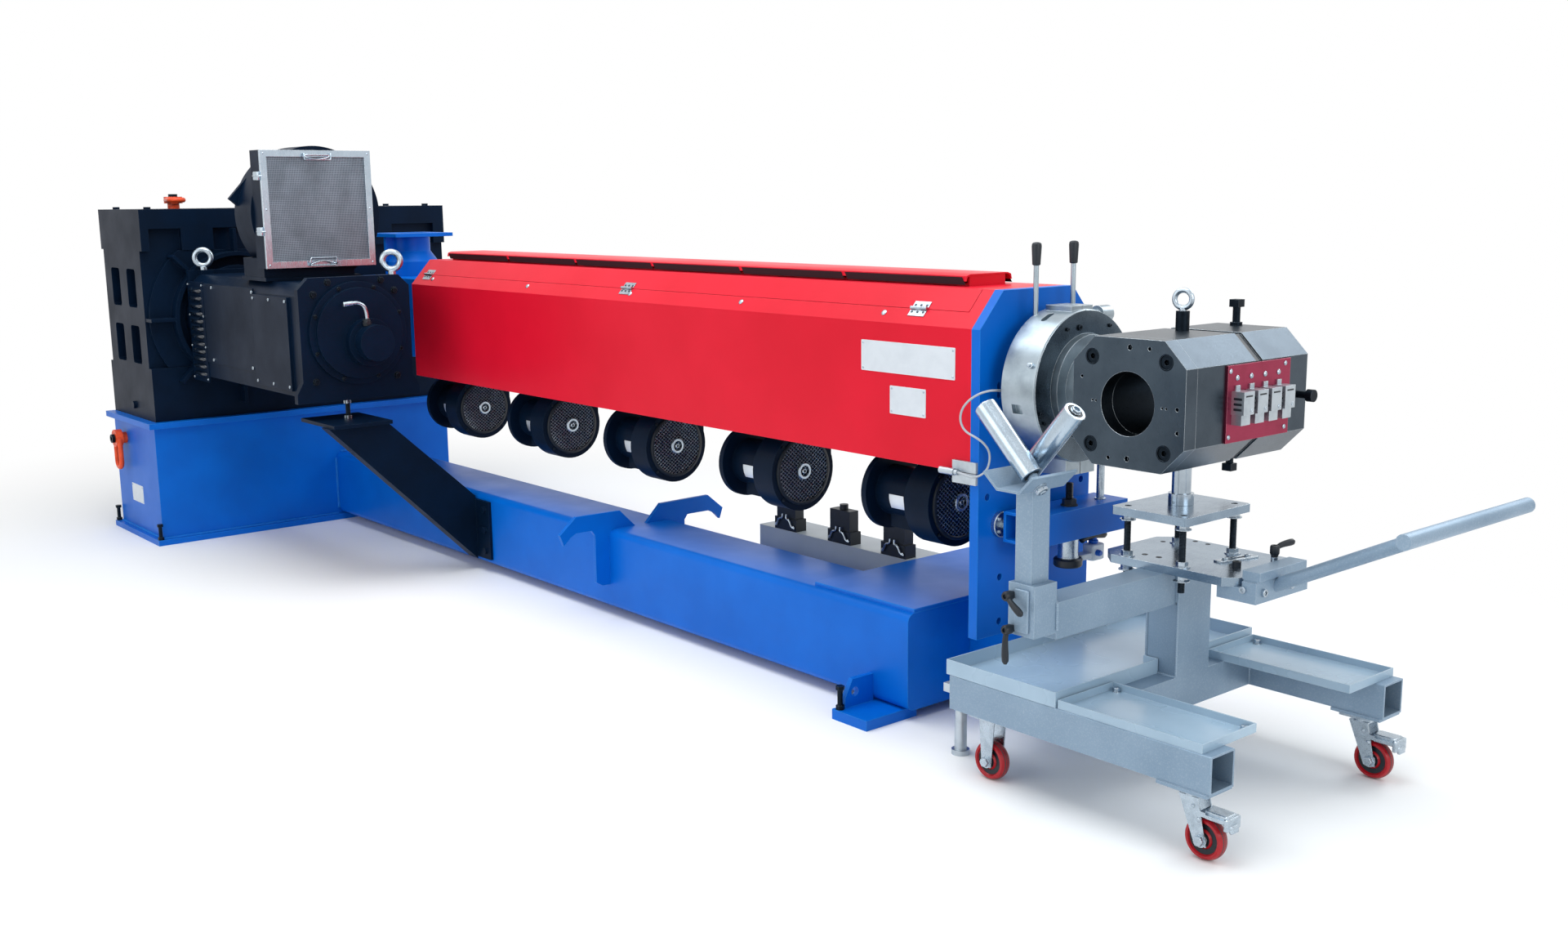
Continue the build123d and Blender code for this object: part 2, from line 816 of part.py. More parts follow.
# Motor: a chamfered square body with an end plate on flared feet
motor_near = motor_centre - motor_half
motor_far = motor_centre + motor_half
motor_body_front = motor_front - end_plate
with BuildPart() as motor_body:
    with BuildSketch(facing_x(motor_rear, motor_centre)) as motor_section:
        with BuildLine():
            Polyline(
                (-motor_half, motor_bottom),
                (motor_half, motor_bottom),
                (motor_half, motor_top - motor_edge),
                (motor_half - motor_edge, motor_top),
                (-motor_half + motor_edge, motor_top),
                (-motor_half, motor_top - motor_edge),
                close=True,
            )
        make_face()
    extrude(motor_section.sketch, amount=motor_body_front - motor_rear)
    with BuildSketch(facing_x(motor_body_front, motor_centre)) as end_section:
        with BuildLine():
            Polyline(
                (-motor_half - 28, motor_bottom - 22),
                (motor_half + 28, motor_bottom - 22),
                (motor_half + 28, motor_bottom + 14),
                (motor_half + 2, motor_bottom + 60),
                (motor_half + 2, motor_top - 20),
                (motor_half - 42, motor_top + 24),
                (-motor_half + 42, motor_top + 24),
                (-motor_half - 2, motor_top - 20),
                (-motor_half - 2, motor_bottom + 60),
                (-motor_half - 28, motor_bottom + 14),
                close=True,
            )
        make_face()
    extrude(end_section.sketch, amount=end_plate)
    block((motor_rear, motor_rear + end_plate), (motor_near - 2, motor_far + 2), (motor_bottom - 4, motor_top + 20))
    block((motor_rear, motor_rear + 2 * end_plate), (motor_near + 44, motor_near + 96), (motor_top - 1, motor_top + 20))
    block((motor_rear + end_plate, motor_body_front), (motor_near + 70, motor_far - 70),
          (motor_bottom - 14, motor_bottom + 1))
    # Panels on the near side: louvres at the rear, a plain one, and the deeper section at the front
    side_panel_front = side_panel_rear + side_panel_length
    block((side_panel_rear, side_panel_front), (motor_near - side_panel_thick, motor_near + 1),
          (centre_height - side_panel_drop, centre_height + side_panel_rise))
    block((side_panel_front + 4, motor_body_front - 60), (motor_near - front_panel_thick, motor_near + 1),
          (motor_bottom + 20, motor_top - motor_edge - 6))
    louvre_bottom = centre_height + louvre_rises[-1] - 33
    louvre_top = centre_height + louvre_rises[0] + 33
    block((louvre_rear, louvre_rear + louvre_length), (motor_near - 6, motor_near + 1), (louvre_bottom, louvre_top))
    for rise in louvre_rises:
        z = centre_height + rise
        with BuildSketch(facing_x(louvre_rear + louvre_margin)) as blade:
            with BuildLine():
                Polyline(
                    (motor_near - 5, z + 10),
                    (motor_near - 18, z - 4),
                    (motor_near - 18, z - 8),
                    (motor_near - 5, z - 8),
                    close=True,
                )
            make_face()
        extrude(blade.sketch, amount=louvre_length - 2 * louvre_margin)
motor_body.part.label = "motor_body"
export_step(motor_body.part, "parts/motor_body.step")

# Round cover on the motor's end, with the speed sensor's housing and its cable gland
encoder_place = (motor_centre + 25, motor_height - 35)
with BuildPart() as motor_end_cover:
    bar(facing_x(motor_front, motor_centre, motor_height), end_cover_radius, end_cover_thick / 2)
    bar(facing_x(motor_front + end_cover_thick / 2, motor_centre, motor_height), end_cover_radius - 24, end_cover_thick / 2)
    bar(facing_x(motor_front + end_cover_thick, *encoder_place), encoder_radius, 40)
    bar(facing_x(motor_front + end_cover_thick + 40, *encoder_place), encoder_radius - 22, encoder_length - 40)
motor_end_cover.part.label = "motor_end_cover"
export_step(motor_end_cover.part, "parts/motor_end_cover.step")

# Lifting eyes: a collar and a ring, on the motor's top and on the crosshead
eye_place = (head_centre - 33, 60)
motor_eye_ring = 34
motor_eye_bar = 12
motor_eye_rise = 54
motor_eye_turn = 66
motor_eye_places = (
    (motor_rear + 42, motor_near + 60, motor_top + 20),
    (motor_front - 15, motor_far - 60, motor_top + 24),
)


def ring_plane(centre, turn):
    """An upright plane through a ring's centre, turned in degrees about the vertical from facing near."""
    angle = math.radians(turn)
    return Plane(origin=centre, x_dir=(0, 0, 1), z_dir=(math.sin(angle), -math.cos(angle), 0))


with BuildPart() as lifting_eyes:
    with Locations(ring_plane((*eye_place, centre_height + head_half + eye_rise), eye_turn)):
        Torus(eye_ring_radius, eye_bar_radius)
    bar(Plane(origin=(*eye_place, centre_height + head_half + eye_collar_height)), 9, 6)
    for x, y, z in motor_eye_places:
        bar(Plane(origin=(x, y, z)), 15, 14)
        with Locations(ring_plane((x, y, z + motor_eye_rise), motor_eye_turn)):
            Torus(motor_eye_ring, motor_eye_bar)
lifting_eyes.part.label = "lifting_eyes"
export_step(lifting_eyes.part, "parts/lifting_eyes.step")

# Strut from the beam's side up to the plate below the motor's end
strut_near_top = -855
strut_far_top = -610
strut_plate_bottom = strut_top - strut_plate_thick
strut_shoe = 12
strut_screw_radius = 9
strut_screw_place = (motor_front - end_plate / 2, strut_near_top + strut_reach)
strut_end = beam_near - strut_shoe
with BuildPart() as motor_strut:
    with BuildSketch(facing_x(strut_web_face - strut_flange)) as strut_side:
        with BuildLine():
            Polyline(
                (strut_near_top, strut_plate_bottom),
                (strut_far_top, strut_plate_bottom),
                (strut_end, beam_top - 12),
                (strut_end, beam_bottom + 16),
                close=True,
            )
        make_face()
    extrude(strut_side.sketch, amount=strut_flange)
    with BuildSketch(facing_x(strut_web_face - strut_flange - 1)) as strut_hollow:
        with BuildLine():
            Polyline(
                (strut_near_top + strut_wall * 1.4, strut_plate_bottom + 1),
                (strut_far_top - strut_wall * 1.4, strut_plate_bottom + 1),
                (strut_end + 1, beam_top - 12 - strut_wall * 1.4),
                (strut_end + 1, beam_bottom + 16 + strut_wall * 1.4),
                close=True,
            )
        make_face()
    extrude(strut_hollow.sketch, amount=strut_flange - strut_wall + 1, mode=Mode.SUBTRACT)
    block((strut_web_face - strut_flange - 215, strut_web_face + 20), (strut_near_top + 12, strut_far_top + 8),
          (strut_plate_bottom, strut_top))
    block((strut_web_face - strut_flange - 30, strut_web_face + 105), (beam_near - strut_shoe, beam_near),
          (beam_bottom + beam_edge, beam_top - beam_edge))
    for z in (beam_bottom + 60, (beam_bottom + beam_top) / 2, beam_top - 60):
        hexagon(facing_near(beam_near - strut_shoe, strut_web_face + 70, z), 14, 10)
    bar(Plane(origin=(*strut_screw_place, strut_plate_bottom - 1)), strut_screw_radius + body_gap,
        strut_plate_thick + 2, mode=Mode.SUBTRACT)
motor_strut.part.label = "motor_strut"
export_step(motor_strut.part, "parts/motor_strut.step")

# Levelling bolts through the feet, and the screw below the motor
jack_places = [
    (x, y, pedestal_plate)
    for x in (pedestal_rear - pedestal_lip / 2, beam_rear + pedestal_lip / 2)
    for y in (pedestal_near - pedestal_lip / 2, pedestal_far + pedestal_lip / 2)
]
for side, wall in ((-1, beam_near), (1, cross_box_far)):
    jack_places.append((foot_rear + 20, wall + side * (foot_reach - 14), beam_bottom))
with BuildPart() as levelling_bolts:
    for x, y, top in jack_places:
        bar(Plane.XY.offset(0.2).move(Location((x, y, 0))), jack_bolt_radius, top + 66)
        hexagon(Plane.XY.offset(top).move(Location((x, y, 0))), jack_bolt_head, 13)
        hexagon(Plane.XY.offset(top + 60).move(Location((x, y, 0))), jack_bolt_head, 12)
    # The screw between the strut's plate and the motor's foot, with its three nuts
    motor_foot = motor_bottom - 22
    bar(Plane(origin=(*strut_screw_place, strut_plate_bottom - 30)), strut_screw_radius,
        motor_foot - strut_plate_bottom + 30)
    for z in (strut_top, strut_plate_bottom - 14, motor_foot - 14):
        hexagon(Plane(origin=(*strut_screw_place, z)), 15, 14)
levelling_bolts.part.label = "levelling_bolts"
export_step(levelling_bolts.part, "parts/levelling_bolts.step")

# Fan volute on the motor: a round casing on a square neck, open to the filter's box at its front
filter_back = filter_front - filter_depth
filter_height = filter_top - filter_bottom
with BuildPart() as fan_volute:
    volute_y = motor_centre + volute_side
    bar(facing_x(volute_rear, volute_y, volute_centre_height), volute_radius, volute_width)
    bar(facing_x(volute_rear - 12, volute_y, volute_centre_height), volute_radius - 70, 20)
    # Pointed tab where the casing's rolled sheet ends
    with BuildSketch(facing_x(volute_rear + 20)) as tab:
        with BuildLine():
            Polyline(
                (volute_y - 0.66 * volute_radius, volute_centre_height + 0.74 * volute_radius),
                (volute_y - 1.12 * volute_radius, volute_centre_height + 0.24 * volute_radius),
                (volute_y - 0.97 * volute_radius, volute_centre_height + 0.11 * volute_radius),
                (volute_y - 0.7 * volute_radius, volute_centre_height + 0.2 * volute_radius),
                close=True,
            )
        make_face()
    extrude(tab.sketch, amount=20)
    block((volute_rear - 20, volute_rear + volute_width + 20), (motor_centre - 210, motor_centre + 170),
          (motor_top - 1, motor_top + 90))
    block((volute_rear - 40, volute_rear + volute_width + 40), (motor_centre - 214, motor_centre + 190),
          (motor_top - 1, motor_top + 14))
    block((filter_back, filter_front - filter_frame_thick), (motor_centre - filter_half, motor_centre + filter_half),
          (filter_bottom, filter_top))
    block((volute_rear - 60, filter_front), (motor_centre - 400, motor_centre + 400), (motor_top - 400, motor_top),
          mode=Mode.SUBTRACT)
fan_volute.part.label = "fan_volute"
export_step(fan_volute.part, "parts/fan_volute.step")

# Filter screen in its polished frame, with wire pulls at the middle of its top and bottom bars
with BuildPart() as filter_screen:
    with BuildSketch(facing_x(filter_front - filter_frame_thick, motor_centre, (filter_bottom + filter_top) / 2)) as screen:
        Rectangle(2 * filter_half, filter_top - filter_bottom)
        Rectangle(2 * (filter_half - filter_frame), filter_top - filter_bottom - 2 * filter_frame, mode=Mode.SUBTRACT)
    extrude(screen.sketch, amount=filter_frame_thick)
    block((filter_front - filter_frame_thick, filter_front - 6), (motor_centre - filter_half + 1, motor_centre + filter_half - 1),
          (filter_bottom + 1, filter_top - 1))
    for z, turn in ((filter_top - filter_frame / 2, -1), (filter_bottom + filter_frame / 2, 1)):
        with BuildLine() as pull_path:
            FilletPolyline(
                (filter_front - 1, motor_centre - 55, z),
                (filter_front + 14, motor_centre - 55, z),
                (filter_front + 14, motor_centre - 55, z + turn * 24),
                (filter_front + 14, motor_centre + 55, z + turn * 24),
                (filter_front + 14, motor_centre + 55, z),
                (filter_front - 1, motor_centre + 55, z),
                radius=6,
            )
        with BuildSketch(Plane(origin=pull_path.line @ 0, z_dir=pull_path.line % 0)) as wire:
            Circle(3)
        sweep(wire.sketch, path=pull_path.line)
filter_screen.part.label = "filter_screen"
export_step(filter_screen.part, "parts/filter_screen.step")

# Feed throat: a square hopper neck with a flange, on the feed body between gearbox and cover
feed_front = cover_rear
throat_base = centre_height + feed_body_half
barrel_start = throat_centre + throat_bore + 10
throat_waist = centre_height + throat_foot_rise
with BuildPart() as feed_body:
    block((gearbox_front, throat_centre - throat_half - 40), (-150, 150), (centre_height - 150, centre_height + 150))
    block((throat_centre - throat_half - 40, feed_front - 8), (-feed_body_half, feed_body_half),
          (centre_height - feed_body_half, throat_base))
    bar(facing_x(feed_front - 8, 0, centre_height), barrel_head_radius - 3, 60)
    bar(facing_x(barrel_start, 0, centre_height), barrel_radius, feed_front - barrel_start + 60, mode=Mode.SUBTRACT)
    bar(Plane(origin=(throat_centre, 0, centre_height)), throat_bore, feed_body_half + 1, mode=Mode.SUBTRACT)
feed_body.part.label = "feed_body"
export_step(feed_body.part, "parts/feed_body.step")

with BuildPart() as feed_throat:
    with Locations((throat_centre, 0, throat_base)):
        Cylinder(throat_foot_radius, throat_waist - throat_base, align=(Align.CENTER, Align.CENTER, Align.MIN))
    with Locations((throat_centre, 0, throat_waist)):
        Cone(throat_foot_radius, throat_neck_radius, throat_flare, align=(Align.CENTER, Align.CENTER, Align.MIN))
    with Locations((throat_centre, 0, throat_waist + throat_flare)):
        Cylinder(throat_neck_radius, throat_top - throat_flange_thick - throat_waist - throat_flare,
                 align=(Align.CENTER, Align.CENTER, Align.MIN))
    block((throat_centre - 8, throat_centre + 8), (-throat_flange_half + 12, 0), (throat_waist, throat_top - throat_flange_thick))
    block((throat_centre - throat_flange_half, throat_centre + throat_flange_half),
          (-throat_flange_half, throat_flange_half), (throat_top - throat_flange_thick, throat_top))
    bar(Plane(origin=(throat_centre, 0, throat_base - 1)), throat_bore, throat_top - throat_base + 2, mode=Mode.SUBTRACT)
    with Locations((throat_centre, 0, throat_top)):
        with GridLocations(throat_flange_half * 1.7, throat_flange_half * 1.7, 2, 2):
            Cylinder(7, 4 * throat_flange_thick, mode=Mode.SUBTRACT)
feed_throat.part.label = "feed_throat"
export_step(feed_throat.part, "parts/feed_throat.step")

# Barrel: one long tube from the feed body through the front plate
with BuildPart() as barrel:
    bar(facing_x(barrel_start, 0, centre_height), barrel_radius, ring_start - barrel_head_length - barrel_start)
    bar(facing_x(ring_start - barrel_head_length, 0, centre_height), ring_inner, barrel_head_length)
    bar(facing_x(ring_start, 0, centre_height), ring_inner - body_gap, ring_length)
    bar(facing_x(barrel_start - 1, 0, centre_height), barrel_bore, ring_start + ring_length - barrel_start + 2,
        mode=Mode.SUBTRACT)
barrel.part.label = "barrel"
export_step(barrel.part, "parts/barrel.step")

# Heater and cooling jackets round the barrel, each with its duct down to a blower
jacket_starts = [blower_first + jacket_offset + k * blower_pitch for k in range(blower_count)]
with BuildPart() as barrel_jackets:
    for start in jacket_starts:
        bar(facing_x(start, 0, centre_height), jacket_radius, jacket_length)
    bar(facing_x(barrel_start, 0, centre_height), barrel_radius, ring_start - barrel_start, mode=Mode.SUBTRACT)
barrel_jackets.part.label = "barrel_jackets"
export_step(barrel_jackets.part, "parts/barrel_jackets.step")


# Cooling blowers: a motor between a rear disc and a scroll whose outlet rises to the jacket
def make_blower(start):
    """One blower, lying along the barrel with its scroll at the front."""
    scroll = start + blower_length - blower_scroll_width
    duct_near = blower_side + blower_radius - duct_width
    duct_top = centre_height - math.sqrt(jacket_radius ** 2 - (blower_side + blower_radius) ** 2)
    with BuildPart() as blower:
        bar(facing_x(scroll, blower_side, blower_height), blower_radius, blower_scroll_width)
        block((scroll + 8, scroll + blower_scroll_width - 8), (duct_near, blower_side + blower_radius),
              (blower_height, duct_top + 40))
        bar(facing_x(start + blower_rear_thick, blower_side, blower_height), blower_motor_radius,
            scroll - start - blower_rear_thick)
        bar(facing_x(start, blower_side, blower_height), blower_rear_radius, blower_rear_thick)
        block((start + 50, start + 150), (blower_side - 40, blower_side + 30),
              (blower_height - blower_motor_radius - 28, blower_height - blower_motor_radius + 12))
        bar(facing_x(start, 0, centre_height), jacket_radius, blower_length + jacket_offset, mode=Mode.SUBTRACT)
    return blower.part


with BuildPart() as cooling_blowers:
    for k in range(blower_count):
        add(make_blower(blower_first + k * blower_pitch))
cooling_blowers.part.label = "cooling_blowers"
export_step(cooling_blowers.part, "parts/cooling_blowers.step")

# Inlet guards with their hubs, one on each scroll's front
with BuildPart() as blower_guards:
    for k in range(blower_count):
        front = blower_first + k * blower_pitch + blower_length
        bar(facing_x(front, blower_side, blower_height), blower_radius - 24, 5)
        bar(facing_x(front + 5, blower_side, blower_height), 24, 9)
blower_guards.part.label = "blower_guards"
export_step(blower_guards.part, "parts/blower_guards.step")


# Clamp ring: two jaws that close round the barrel's and the crosshead's flanges
ring_middle = ring_start + ring_length / 2


def make_jaw(side):
    """One jaw of the ring, with a leg below and its half of the opening above."""
    with BuildPart() as jaw:
        with BuildSketch(facing_x(ring_start)) as jaw_face:
            with Locations((0, centre_height)):
                Circle(ring_radius)
                Circle(ring_inner, mode=Mode.SUBTRACT)
            with Locations((-side * (ring_radius + 1 - ring_split / 2), centre_height)):
                Rectangle(2 * ring_radius + 2, 2 * ring_radius + 2, mode=Mode.SUBTRACT)
        extrude(jaw_face.sketch, amount=ring_length)
        outer_edges = jaw.edges().filter_by(GeomType.CIRCLE).group_by(SortBy.RADIUS)[-1]
        chamfer(outer_edges, length=5)
        block((ring_start + 16, ring_start + ring_length - 16),
              (min(side * ring_split / 2, side * 44), max(side * ring_split / 2, side * 44)),
              (centre_height + ring_radius - 14, centre_height + ring_radius + 10))
        block((ring_start + 10, ring_start + ring_length - 10),
              (min(side * ring_split / 2, side * 60), max(side * ring_split / 2, side * 60)),
              (centre_height - ring_radius - 34, centre_height - ring_radius + 20))
        bar(facing_x(ring_start - 1, 0, centre_height), ring_inner, ring_length + 2, mode=Mode.SUBTRACT)
        # Oval socket over each handle's side and a square notch low on the rim
        for angle, along, across in ((66, 46, 18), (-14, 26, 35)):
            turn = math.radians(angle)
            out = (0, side * math.cos(turn), math.sin(turn))
            seat = Plane(
                origin=(ring_middle - 4, out[1] * (ring_radius + 1), centre_height + out[2] * (ring_radius + 1)),
                x_dir=(0, -side * math.sin(turn), math.cos(turn)),
                z_dir=out,
            )
            with BuildSketch(seat) as socket:
                if angle > 0:
                    SlotOverall(along, across)
                else:
                    Rectangle(along, across)
            extrude(socket.sketch, amount=-16, mode=Mode.SUBTRACT)
    return jaw.part


handle_x = ring_start + handle_place
with BuildPart() as clamp_ring:
    for side in (-1, 1):
        add(make_jaw(side))
        stem_foot = centre_height + math.sqrt(ring_radius ** 2 - handle_side ** 2) - 12
        bar(Plane(origin=(handle_x, side * handle_side, stem_foot)), 7, handle_top - grip_length - stem_foot)
    # Swing bolt and nut that hold the jaws together
    bolt_plane = Plane(origin=(ring_middle + 6, 43, centre_height + ring_radius - 22), z_dir=(0, 1, 0))
    bar(bolt_plane, 13, 82)
    bar(bolt_plane.offset(68), 24, 44)
    bar(bolt_plane.offset(100), 20, 18)
clamp_ring.part.label = "clamp_ring"
export_step(clamp_ring.part, "parts/clamp_ring.step")

# Neck between the clamp ring and the crosshead
neck_start = ring_start + ring_length
with BuildPart() as crosshead_neck:
    bar(facing_x(neck_start, 0, centre_height), neck_flange_radius, neck_flange_thick)
    bar(facing_x(neck_start + neck_flange_thick, 0, centre_height), neck_radius,
        head_start - neck_start - neck_flange_thick)
    bar(facing_x(neck_start - 1, 0, centre_height), barrel_bore, head_start - neck_start + 2, mode=Mode.SUBTRACT)
crosshead_neck.part.label = "crosshead_neck"
export_step(crosshead_neck.part, "parts/crosshead_neck.step")


# Crosshead: a chamfered block with the cable's bore across it, and a bolted end cap
def head_outline(plane, inset=0.0):
    """The crosshead's eight-sided section, drawn in from its outer faces by the inset."""
    with BuildSketch(plane) as outline:
        Rectangle(head_length - 2 * inset, 2 * head_half - 2 * inset)
        chamfer(outline.vertices(), length=head_chamfer - inset * 0.6)
    return outline.sketch


head_origin = (head_centre, centre_height)
head_front = head_start + head_length
with BuildPart() as crosshead:
    extrude(head_outline(facing_near(head_far, *head_origin)), amount=head_far - head_near - end_cap_thick)
    groove_far = head_groove_near + head_groove_width
    with BuildSketch(facing_near(groove_far, *head_origin)) as groove:
        Rectangle(head_length + 10, 2 * head_half + 10)
        add(head_outline(Plane.XY, head_groove_depth), mode=Mode.SUBTRACT)
    extrude(groove.sketch, amount=head_groove_width, mode=Mode.SUBTRACT)
    bar(facing_near(head_far + 1, *head_origin), head_bore, head_far - head_near + 2, mode=Mode.SUBTRACT)
crosshead.part.label = "crosshead"
export_step(crosshead.part, "parts/crosshead.step")

with BuildPart() as crosshead_end_cap:
    cap_plane = facing_near(head_near + end_cap_thick, *head_origin)
    extrude(head_outline(cap_plane), amount=end_cap_thick)
    bar(cap_plane.offset(-1), head_bore, end_cap_thick + 2, mode=Mode.SUBTRACT)
    with Locations(facing_near(head_near, *head_origin)):
        with GridLocations(2 * head_bolt_offset, 2 * head_bolt_offset, 2, 2):
            CounterBoreHole(radius=9, counter_bore_radius=head_bolt_radius + 3, counter_bore_depth=18, depth=end_cap_thick)
    for x, z, radius in head_holes:
        bar(facing_near(head_near + head_hole_depth, head_centre + x, centre_height + z), radius,
            head_hole_depth + 1, mode=Mode.SUBTRACT)
crosshead_end_cap.part.label = "crosshead_end_cap"
export_step(crosshead_end_cap.part, "parts/crosshead_end_cap.step")

# Bolts of the crosshead: socket heads in the end cap, square-headed screws above, below and behind
with BuildPart() as crosshead_bolts:
    for side_x in (-1, 1):
        for side_z in (-1, 1):
            bolt_plane = facing_near(head_near + 18, head_centre + side_x * head_bolt_offset,
                                     centre_height + side_z * head_bolt_offset)
            bar(bolt_plane, head_bolt_radius, 16)
            with BuildSketch(bolt_plane.offset(6)) as key:
                RegularPolygon(8, 6)
            extrude(key.sketch, amount=11, mode=Mode.SUBTRACT)
    for x, y, direction in ((head_centre - 27, 290, 1), (head_centre - 27, 286, -1)):
        plane = Plane(origin=(x, y, centre_height + direction * head_half), z_dir=(0, 0, direction))
        bar(plane, 10, 66)
        bar(plane, 16, 8)
        with BuildSketch(plane.offset(48)) as square:
            Rectangle(28, 28)
        extrude(square.sketch, amount=20)
    bar(Plane(origin=(*eye_place, centre_height + head_half)), eye_collar_radius, eye_collar_height)
    far_plane = Plane(origin=(head_front, head_far - 37, centre_height - 5), z_dir=(1, 0, 0))
    bar(far_plane, 9, 46)
    bar(far_plane.offset(28), 16, 18)
crosshead_bolts.part.label = "crosshead_bolts"
export_step(crosshead_bolts.part, "parts/crosshead_bolts.step")

# Plate on the crosshead's front face, with its row of heater connectors
with BuildPart() as connector_plate:
    block((head_front, head_front + connector_plate_thick), (connector_plate_near, connector_plate_far),
          (connector_plate_bottom, connector_plate_top))
connector_plate.part.label = "connector_plate"
export_step(connector_plate.part, "parts/connector_plate.step")

with BuildPart() as heater_connectors:
    face = head_front + connector_plate_thick
    for k in range(connector_count):
        y = connector_side + (k - (connector_count - 1) / 2) * connector_pitch
        block((face, face + 36), (y - connector_half, y + connector_half),
              (centre_height - connector_drop, centre_height + connector_rise))
        block((face, face + 28), (y - connector_half + 3, y + connector_half - 3),
              (centre_height - 2 * connector_drop, centre_height - connector_drop))
        block((face, face + 4), (y - 9, y + 9), (centre_height + connector_rise, centre_height + connector_rise + 13))
heater_connectors.part.label = "heater_connectors"
export_step(heater_connectors.part, "parts/heater_connectors.step")

# Support of the crosshead: a pillar on the upper jacking plate
with BuildPart() as crosshead_pillar:
    with Locations((head_centre - 20, support_side, jack_top)):
        Cylinder(support_radius, centre_height - head_half - jack_top, align=(Align.CENTER, Align.CENTER, Align.MIN))
        Cylinder(support_radius + 8, 30, align=(Align.CENTER, Align.CENTER, Align.MIN))
crosshead_pillar.part.label = "crosshead_pillar"
export_step(crosshead_pillar.part, "parts/crosshead_pillar.step")

jack_x = head_centre - 15
jack_y = support_side - 4
screw_spread_x = jack_plate_length - 60
screw_spread_y = jack_plate_width - 60
with BuildPart() as jack_plates:
    with BuildSketch(Plane.XY.offset(jack_top - jack_plate_thick).move(Location((jack_x, jack_y, 0)))) as upper:
        RectangleRounded(jack_plate_length, jack_plate_width, 6)
        with GridLocations(screw_spread_x, screw_spread_y, 2, 2):
            Circle(jack_screw_radius + body_gap, mode=Mode.SUBTRACT)
    extrude(upper.sketch, amount=jack_plate_thick)
    with BuildSketch(Plane.XY.offset(table_top - table_thick)) as lower:
        with Locations(((table_rear + table_front) / 2, (table_near + table_far) / 2)):
            Rectangle(table_front - table_rear, table_far - table_near)
        chamfer(lower.vertices(), length=44)
        with Locations((jack_x, jack_y)):
            with GridLocations(screw_spread_x, screw_spread_y, 2, 2):
                Circle(jack_screw_radius + body_gap, mode=Mode.SUBTRACT)
    extrude(lower.sketch, amount=table_thick)
jack_plates.part.label = "jack_plates"
export_step(jack_plates.part, "parts/jack_plates.step")

screw_bottom = table_top - table_thick - 46
with BuildPart() as jack_screws:
    for side_x in (-1, 1):
        for side_y in (-1, 1):
            spot = Location((jack_x + side_x * screw_spread_x / 2, jack_y + side_y * screw_spread_y / 2, 0))
            bar(Plane.XY.offset(screw_bottom).move(spot), jack_screw_radius, jack_top - 3 - screw_bottom)
            for z in (table_top, table_top - table_thick - 15, jack_top - jack_plate_thick - 15):
                hexagon(Plane.XY.offset(z).move(spot), jack_nut_radius, 15)
jack_screws.part.label = "jack_screws"
export_step(jack_screws.part, "parts/jack_screws.step")

# Trolley: two open side tubes, a cross tube, the column and the lower table on it
with BuildPart() as side_tubes:
    for side in (-1, 1):
        inner = side * (trolley_half - tube)
        outer = side * trolley_half
        low = min(inner, outer)
        high = max(inner, outer)
        block((trolley_rear, trolley_front), (low, high), (frame_bottom, frame_top))
        block((trolley_rear - 1, trolley_front + 1), (low + tube_wall, high - tube_wall),
              (frame_bottom + tube_wall, frame_top - tube_wall), mode=Mode.SUBTRACT)
        block((trolley_front - spacer_length - 6, trolley_front - 6), (low - 4, high + 4), (frame_bottom - 8, frame_bottom))
    fillet(side_tubes.edges().filter_by(Axis.X).group_by(Axis.Z)[-1], radius=4)
side_tubes.part.label = "side_tubes"
export_step(side_tubes.part, "parts/side_tubes.step")

# Column on its cross tube, with the side arm and the socket at the arm's end
arm_top = table_top - table_thick
arm_bottom = arm_top - arm_height
socket_far = socket_near + arm_width
with BuildPart() as column:
    block((column_rear, column_rear + column_length), (-trolley_half + tube, trolley_half - tube),
          (frame_bottom, frame_top))
    block((column_rear, column_rear + column_length), (column_near, column_far), (frame_top, table_top - table_thick))
    block((arm_rear, arm_rear + arm_width), (socket_far, column_near), (arm_bottom, arm_top))
    block((arm_rear, arm_rear + arm_width), (socket_near, socket_far), (socket_bottom, socket_top))
    block((post_x - post_length / 2 - post_clearance, post_x + post_length / 2 + post_clearance),
          (post_y - post_width / 2 - post_clearance, post_y + post_width / 2 + post_clearance),
          (socket_bottom - 1, socket_top + 1), mode=Mode.SUBTRACT)
column.part.label = "column"
export_step(column.part, "parts/column.step")


# Black hand levers: two on the socket, one on the table, and the clamp ring's grips
def clamp_lever(origin, out, along, reach):
    """A hub that stands out from its seat, with a lever that swells to its end."""
    hub = Plane(origin=origin, z_dir=out)
    bar(hub, 13, 30)
    with Locations(Plane(origin=hub.offset(19).origin, z_dir=along)):
        Cone(8, 12, reach, align=(Align.CENTER, Align.CENTER, Align.MIN))


with BuildPart() as clamp_levers:
    clamp_lever((arm_rear + 14, socket_near, socket_top - 30), (0, -1, 0), (0.78, 0, -0.62), 62)
    clamp_lever((arm_rear + 14, socket_near, socket_bottom + 14), (0, -1, 0), (0, 0, -1), 82)
    # Lever on the table: a stem and a bent grip
    lever_place = (table_front - 27, 132, table_top)
    bar(Plane(origin=lever_place), 9, 18)
    bar(Plane(origin=lever_place).offset(18), 14, 34)
    with Locations(Plane(origin=(lever_place[0], lever_place[1], table_top + 44), z_dir=(0.25, 0.95, 0.2))):
        Cone(10, 12, 62, align=(Align.CENTER, Align.CENTER, Align.MIN))
    with Locations((table_front - 83, 52, table_top)):
        Cylinder(10, 14, align=(Align.CENTER, Align.CENTER, Align.MIN))
    # Tapered grips on the clamp ring's two handles
    for side in (-1, 1):
        with Locations((handle_x, side * handle_side, handle_top - grip_length)):
            Cone(11, 13.5, grip_length, align=(Align.CENTER, Align.CENTER, Align.MIN))
clamp_levers.part.label = "clamp_levers"
